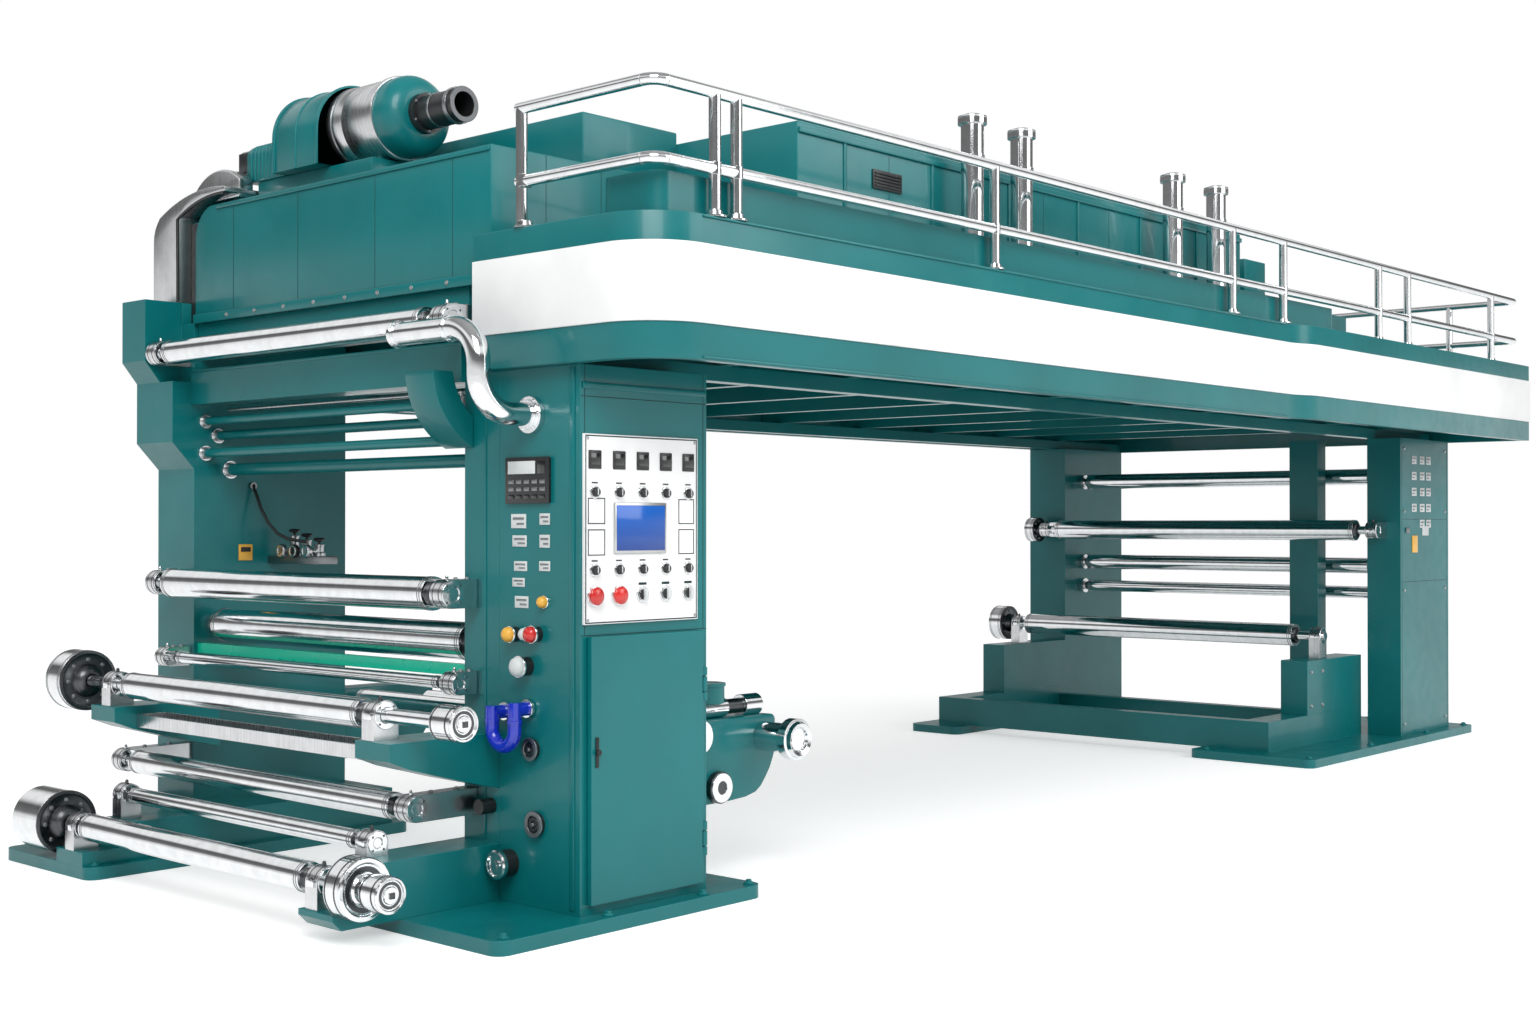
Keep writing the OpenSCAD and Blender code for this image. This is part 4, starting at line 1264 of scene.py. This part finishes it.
class LINE_OT_roller_ends(bpy.types.Operator):
    """Adds collars, chucks, hand wheels and drum faces to the rollers"""

    bl_idname = "line.roller_ends"
    bl_label = "Roller ends"

    # Each roller with the radius of its body and of its journals
    ROLLERS = (
        ("upper_roller", 59, 30), ("nip_roller", 70.5, 30), ("print_cylinder", 82.5, 30),
        ("doctor_roller", 26, 18), ("unwind_roller", 61, 30), ("lower_roller", 55, 25),
        ("guide_roller", 37, 20), ("rewind_roller", 61, 30), ("rear_roller", 61, 30),
        ("far_top_roller", 61, 30), ("far_main_roller", 75, 30), ("far_mid_roller", 61, 30),
        ("far_low_roller", 47, 30), ("far_wind_roller", 80, 30),
    )
    # Drums and wheels as roller, radius
    DRUMS = (
        ("unwind_roller", 145), ("rewind_roller", 145), ("far_wind_roller", 135), ("far_main_roller", 100),
    )
    WHEELS = (("unwind_roller", 69.5), ("rewind_roller", 69.5), ("rewind_roller", 120))

    def execute(self, context):
        for node, radius, journal in self.ROLLERS:
            self.collars(node, radius, journal)
        for node, radius in self.DRUMS:
            self.drum(node, radius)
        for node, radius in self.WHEELS:
            self.wheel(node, radius)
        return {"FINISHED"}

    def collars(self, node, radius, journal):
        first, last = drum_span(node, radius)
        big, small, bore = radius * MM, max(radius * 0.72, journal + 6) * MM, journal * MM
        form = Form()
        for y, way in ((first, -ACROSS), (last, ACROSS)):
            form.turn(
                [(bore, 0.0), (small, 0.0), (small, 0.012), (small - 0.003, 0.015), (bore + 0.005, 0.017),
                 (bore + 0.004, 0.027), (bore, 0.028)],
                on_axis(node, y), way, 48, 0, closed=True,
            )
            inside = -way
            for shift in (0.016, 0.030):
                form.ring(
                    on_axis(node, y) + inside * shift, way, big - 0.002, big + 0.0012, 0.004, 56, 1, 0.0005,
                )
        form.done(node + "_collars", ["dark_steel", "cast_steel"], body=node)

    def drum(self, node, radius):
        first, last = drum_span(node, radius)
        big = radius * MM
        form = Form()
        form.turn(
            [(0.034, 0.0), (big - 0.004, 0.0), (big, -0.003), (big, -0.008), (big * 0.90, -0.010),
             (big * 0.84, -0.004), (big * 0.55, -0.004), (big * 0.46, -0.026), (0.040, -0.044),
             (0.034, -0.044)],
            on_axis(node, first), ACROSS, 64, 0, closed=True,
        )
        # No rings where they would pass the box of the frame
        inside = AXES[node].x - big - 0.001 > CAD_BOX[0].x
        for shift in (0.010, 0.020) if inside else ():
            form.ring(
                on_axis(node, first) + ACROSS * shift, ACROSS, big - 0.002, big + 0.001, 0.003, 64, 1, 0.0005,
            )
            form.ring(
                on_axis(node, last) - ACROSS * shift, -ACROSS, big - 0.002, big + 0.001, 0.003, 64, 1, 0.0005,
            )
        form.bolts(on_axis(node, first - 4), -ACROSS, big * 0.70, 8, 0.008, finish=1)
        form.done(node + "_drum_face_" + str(int(radius)), ["dark_steel", "cast_steel"], body=node)

    def wheel(self, node, radius):
        first, last = drum_span(node, radius)
        big = radius * MM
        form = Form()
        form.turn(
            [(0.0, 0.0), (big, 0.0), (big + 0.001, -0.004), (big - 0.003, -0.010), (big * 0.86, -0.011),
             (big * 0.80, -0.003), (big * 0.50, -0.003), (big * 0.44, -0.012), (big * 0.22, -0.013),
             (0.0, -0.013)],
            on_axis(node, first), ACROSS, 56, 0,
        )
        form.ring(on_axis(node, first) - ACROSS * 0.003, -ACROSS, big * 0.56, big * 0.74, 0.0015, 48, 1)
        form.ring(
            on_axis(node, first) + ACROSS * 0.020, ACROSS, big - 0.002, big + 0.0015, 0.006, 56, 1, 0.0005,
        )
        form.ring(
            on_axis(node, last) - ACROSS * 0.012, ACROSS, big - 0.002, big + 0.0015, 0.006, 56, 1, 0.0005,
        )
        form.block(
            on_axis(node, first) + Vector((-0.012, -0.019, -0.012)),
            on_axis(node, first) + Vector((0.012, -0.012, 0.012)), 0.002, 1,
        )
        form.done(node + "_wheel_" + str(int(radius)), ["chrome", "dark_steel"], body=node)


class LINE_OT_bearing_caps(bpy.types.Operator):
    """Adds caps, bolts and grease cups to the bearing housings"""

    bl_idname = "line.bearing_caps"
    bl_label = "Bearing caps"

    HOUSING = 80.0
    WALL_OF_RING = 30.0
    # Rollers held from the side, each with the radius of its journals
    WALL = (("upper_roller", 30), ("nip_roller", 30), ("doctor_roller", 18), ("lower_roller", 25))
    WALL_PLACES = (607.0, 2876.0)
    # Rollers on pedestals, each with the radius of its journals and where its housings start
    PEDESTALS = (
        ("unwind_roller", 30, (607.0, 2676.0)), ("guide_roller", 20, (607.0, 2516.0)),
        ("rewind_roller", 30, (607.0, 2516.0)), ("far_wind_roller", 30, (340.0, 2896.0)),
        ("far_main_roller", 30, (100.0, 2896.0)),
    )

    def execute(self, context):
        form = Form()
        for node, journal in self.WALL:
            for y in self.WALL_PLACES:
                self.cap(form, node, y, journal)
                self.side_bolts(form, node, y, journal)
        for node, journal, places in self.PEDESTALS:
            for y in places:
                self.cap(form, node, y, journal)
                self.top_strap(form, node, y, journal)
        form.done("bearing_caps", ["chrome", "dark_steel", "steel"])
        return {"FINISHED"}

    def cap(self, form, node, y, journal):
        outer = (journal + self.WALL_OF_RING) * MM
        for face, way in ((y, -ACROSS), (y + self.HOUSING, ACROSS)):
            at = on_axis(node, face)
            form.ring(at, way, (journal + 2) * MM, outer - 0.004, 0.0035, 44, 0)
            form.bolts(at + way * 0.0035, way, (journal + 17) * MM, 4, 0.0045, 45, False, 1)
        for part in (0.25, 0.75):
            at = on_axis(node, y + self.HOUSING * part)
            form.ring(at - ACROSS * 0.002, ACROSS, outer - 0.002, outer + 0.001, 0.004, 44, 1, 0.0005)

    def side_bolts(self, form, node, y, journal):
        at = on_axis(node, y + self.HOUSING / 2) + UP * (journal + self.WALL_OF_RING) * MM
        for along in (0.3, 0.7):
            form.bolt(at + ALONG * (CORNER.x - at.x) * along, UP, 0.009, finish=2)
        form.turn([(0.0, 0.0), (0.007, 0.0), (0.007, 0.012), (0.004, 0.018), (0.0, 0.019)], at, UP, 12, 0)

    def top_strap(self, form, node, y, journal):
        outer = (journal + self.WALL_OF_RING) * MM
        middle = on_axis(node, y + self.HOUSING / 2)
        for side in (-1, 1):
            ear = middle + ALONG * side * outer * 0.90
            form.block(ear - Vector((0.014, 0.026, 0.016)), ear + Vector((0.014, 0.026, 0.012)), 0.003, 0)
            form.bolt(middle + ALONG * side * outer * 0.98 + UP * 0.012, UP, 0.008, finish=1)
        form.turn(
            [(0.0, 0.0), (0.008, 0.0), (0.008, 0.010), (0.005, 0.016), (0.0, 0.017)], middle + UP * outer, UP,
            12, 1,
        )


class LINE_OT_near_fittings(bpy.types.Operator):
    """Adds the valves, cable, tie bar ends and plate bolts of the near tower"""

    bl_idname = "line.near_fittings"
    bl_label = "Near fittings"

    # Tie bars as X, Z and radius
    TIE_BARS = ((60, 2120, 20), (130, 2050, 23), (60, 1960, 23), (200, 1880, 30))

    def execute(self, context):
        self.valves()
        self.cable()
        self.bar_ends()
        self.plates()
        self.hose_ends()
        return {"FINISHED"}

    def valves(self):
        low, high = local("valve_cluster")
        form = Form()
        form.slab((low.x, low.y, low.z), (high.x, high.y, low.z + 40), 0.004, 0)
        for count in range(3):
            x, y, base = low.x + 70, low.y + 60 + count * 110, low.z + 40
            tall = 60 + 22 * count
            form.turn(
                [(0.0, 0.0), (0.030, 0.0), (0.030, 0.016), (0.022, 0.022), (0.022, tall * MM - 0.010),
                 (0.027, tall * MM), (0.0, tall * MM)],
                spot(x, y, base), UP, 32, 1,
            )
            form.turn(
                [(0.0, 0.0), (0.008, 0.0), (0.008, 0.014), (0.026, 0.018), (0.030, 0.026), (0.024, 0.034),
                 (0.0, 0.036)],
                spot(x, y, base + tall), UP, 8, 2,
            )
            form.rod(spot(x - 60, y, base + 26), spot(x, y, base + 26), 0.012, 20, 1)
            form.turn(
                [(0.0, 0.0), (0.030, 0.0), (0.034, 0.004), (0.034, 0.022), (0.030, 0.026), (0.0, 0.026)],
                spot(x - 60, y, base + 26), -ALONG, 32, 1 if count != 1 else 2,
            )
            form.ring(spot(x - 86, y, base + 26), -ALONG, 0.020, 0.030, 0.003, 32, 3)
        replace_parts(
            form.done("valve_group", ["cast_steel", "steel", "dark_plastic", "chrome"]), "valve_cluster",
        )
        form = Form()
        form.slab((250, DRIVE_FACE - 5, 1418), (330, DRIVE_FACE, 1500), 0.002, 0)
        form.slab((262, 2849.5, 1462), (318, 2851.5, 1486), 0.0005, 1)
        form.done("inner_plate", ["yellow_plastic", "dark_plastic"])

    def cable(self):
        points = [
            (330, 2850, 1800), (330, 2820, 1760), (336, 2790, 1690), (350, 2740, 1610), (372, 2690, 1555),
            (400, 2640, 1528), (430, 2600, 1520), (462, 2560, 1512),
        ]
        form = Form()
        form.pipe([spot(*point) for point in points], 0.008, 12, 0)
        form.ring(spot(330, DRIVE_FACE, 1800), -ACROSS, 0.009, 0.020, 0.016, 20, 1)
        form.done("valve_feed", ["dark_plastic", "cast_steel"])

    def bar_ends(self):
        form = Form()
        for x, z, radius in self.TIE_BARS:
            for y, way in ((OPERATOR_FACE, ACROSS), (DRIVE_FACE, -ACROSS)):
                at = spot(x, y, z)
                form.ring(at, way, (radius - 1) * MM, (radius + 16) * MM, 0.012, 32, 0)
                form.ring(at + way * 0.012, way, (radius - 1) * MM, (radius + 7) * MM, 0.020, 32, 1)
                form.bolts(at + way * 0.012, way, (radius + 11) * MM, 4, 0.004, 45, False, 1)
        for y in (760, 800, 850):
            form.slab((30, y, 2096), (92, y + 26, 2146), 0.005, 1)
            form.rod(spot(60, y + 13, 2146), spot(60, y + 13, 2172), 0.007, 16, 0)
        form.rod(spot(96, 740, 2170), spot(96, 2700, 2170), 0.009, 20, 1)
        form.done("tie_bar_ends", ["chrome", "steel"])

    def plates(self):
        radius = bpy.context.scene.line_sizes.bolt_radius
        top = local("near_base_plates")[1].z
        far_low, far_high = local("far_base")
        form = Form()
        places = [
            (-430, -50), (-430, 640), (100, -55), (640, -55), (930, -50), (930, 640), (-380, 2420),
            (-740, 2440),
        ]
        places += [
            (far_low.x + 70, -45), (far_low.x + 70, 700), (far_high.x - 70, -45), (7400, -45), (8400, -45),
        ]
        places += [(far_high.x - 70, 700), (far_high.x - 70, 2900)]
        for x, y in places:
            at = spot(x, y, top)
            form.turn([(0.0, 0.0), (0.026, 0.0), (0.026, 0.005), (0.0, 0.005)], at, UP, 24, 0)
            form.bolt(at + UP * 0.005, UP, radius * 1.3, finish=0)
        form.done("floor_bolts", ["teal_paint"])

    def hose_ends(self):
        low, high = local("ink_hose")
        form = Form()
        for y in (low.y + 28, high.y - 28):
            form.ring(spot(-6, y, 857 if y < 370 else 837), -ALONG, 0.026, 0.038, 0.016, 32, 0)
        for y, z in ((300, 800), (440, 800)):
            form.ring(spot(-80, y, z), UP, 0.0275, 0.031, 0.014, 32, 1)
        form.done("hose_clamps", ["chrome", "blue_plastic"])


class LINE_OT_far_fittings(bpy.types.Operator):
    """Adds the labels, covers and bolts of the far tower and the roof"""

    bl_idname = "line.far_fittings"
    bl_label = "Far fittings"

    STACKS_X = (2380, 2807, 4343, 4855)
    STACKS_Y = -200
    # Columns of labels, each with its number of rows
    LABEL_COLUMNS = ((8290, 4), (8440, 5), (8560, 5))
    LABEL_TOP = 2080
    LABEL_PITCH = 118

    def execute(self, context):
        self.labels()
        self.covers()
        self.stacks()
        return {"FINISHED"}

    def labels(self):
        form = Form()
        front = local("far_operator_column")[0].y
        for x, rows in self.LABEL_COLUMNS:
            for row in range(rows):
                z = self.LABEL_TOP - row * self.LABEL_PITCH
                form.slab((x - 44, front - 3, z - 30), (x + 44, front, z + 30), 0.001, 0)
                form.slab((x - 34, front - 4, z + 4), (x + 34, front - 2.5, z + 16), 0.0003, 1)
                form.slab((x - 34, front - 4, z - 18), (x + 10, front - 2.5, z - 8), 0.0003, 1)
        form.slab((8250, front - 4, 1395), (8350, front, 1520), 0.001, 2)
        form.slab((8440, front - 4, 1520), (8560, front, 1590), 0.001, 0)
        form.slab((8130, front - 10, 1540), (8190, front, 1580), 0.002, 1)
        form.done("far_labels", ["pale_plastic", "cast_steel", "yellow_plastic"])

    def covers(self):
        form = Form()
        low, high = local("far_operator_column")
        for x in (low.x + 26, high.x - 29):
            form.slab((x, low.y - 0.8, low.z + 20), (x + 3, low.y, high.z - 4), 0.0003, 0, 1)
        for z in (1180, 1640):
            form.slab((low.x + 28, low.y - 0.8, z), (high.x - 28, low.y, z + 3), 0.0003, 0, 1)
        form.done("far_seams", ["seam_shadow"])
        form = Form()
        for x in (low.x + 70, high.x - 70):
            for z in (140, 1120, 1700, 2160):
                form.bolt(spot(x, low.y, z), -ACROSS, 0.009)
        cradle = local("far_cradle")
        for x in (cradle[0].x + 60, cradle[0].x + 240):
            for z in (320, 560):
                form.bolt(spot(x, cradle[0].y, z), -ACROSS, 0.011)
        form.done("far_bolts", ["steel"])

    def stacks(self):
        low, high = local("exhaust_stacks")
        form = Form()
        y = self.STACKS_Y
        for x in self.STACKS_X:
            form.turn(
                [(0.0, 0.0), (0.069, 0.0), (0.071, 0.003), (0.070, 0.010), (0.040, 0.020), (0.0, 0.024)],
                spot(x, y, high.z), UP, 40, 0,
            )
            form.ring(spot(x, y, low.z), UP, 0.0565, 0.090, 0.010, 40, 1)
            form.ring(spot(x, y, high.z - 190), UP, 0.0565, 0.060, 0.012, 40, 0)
            form.bolts(spot(x, y, low.z + 10), UP, 0.076, 6, 0.006, washer=False)
        form.done("stack_caps", ["chrome", "teal_paint"])
        form = Form()
        for x in self.STACKS_X:
            form.slab((x - 150, -330, 2959), (x + 150, -78, 2962), 0.001)
        form.done("stack_plates", ["teal_paint"])


class LINE_PT_panel(bpy.types.Panel):
    """Lists the steps that dress the line"""

    bl_idname = "LINE_PT_panel"
    bl_label = "Printing Line"
    bl_space_type = "VIEW_3D"
    bl_region_type = "UI"
    bl_category = "Printing Line"

    def draw(self, context):
        layout = self.layout
        for name in ("teal", "white", "mint", "chrome", "chrome_roughness"):
            layout.prop(context.scene.line_colours, name)
        for name in ("bolt_radius", "seam_width", "seam_depth"):
            layout.prop(context.scene.line_sizes, name)
        for step in STEPS:
            layout.operator(step.bl_idname)


STEPS = (
    LINE_OT_studio, LINE_OT_finishes, LINE_OT_head_shell, LINE_OT_blower, LINE_OT_bridge_shell,
    LINE_OT_pipes_and_guards, LINE_OT_panel_controls, LINE_OT_side_fittings, LINE_OT_seams,
    LINE_OT_roller_ends, LINE_OT_bearing_caps, LINE_OT_near_fittings, LINE_OT_far_fittings,
)
CLASSES = (LineColours, LineSizes, *STEPS, LINE_PT_panel)


def register():
    for each in CLASSES:
        bpy.utils.register_class(each)
    bpy.types.Scene.line_colours = PointerProperty(type=LineColours)
    bpy.types.Scene.line_sizes = PointerProperty(type=LineSizes)


def unregister():
    del bpy.types.Scene.line_sizes
    del bpy.types.Scene.line_colours
    for each in reversed(CLASSES):
        bpy.utils.unregister_class(each)


def plain(box):
    return [list(corner) for corner in box]


def main():
    register()
    bpy.ops.line.studio()
    bpy.ops.line.finishes()
    bpy.ops.line.head_shell()
    bpy.ops.line.blower()
    bpy.ops.line.bridge_shell()
    bpy.ops.line.pipes_and_guards()
    bpy.ops.line.panel_controls()
    bpy.ops.line.side_fittings()
    bpy.ops.line.seams()
    bpy.ops.line.roller_ends()
    bpy.ops.line.bearing_caps()
    bpy.ops.line.near_fittings()
    bpy.ops.line.far_fittings()


if __name__ == "__main__":
    main()
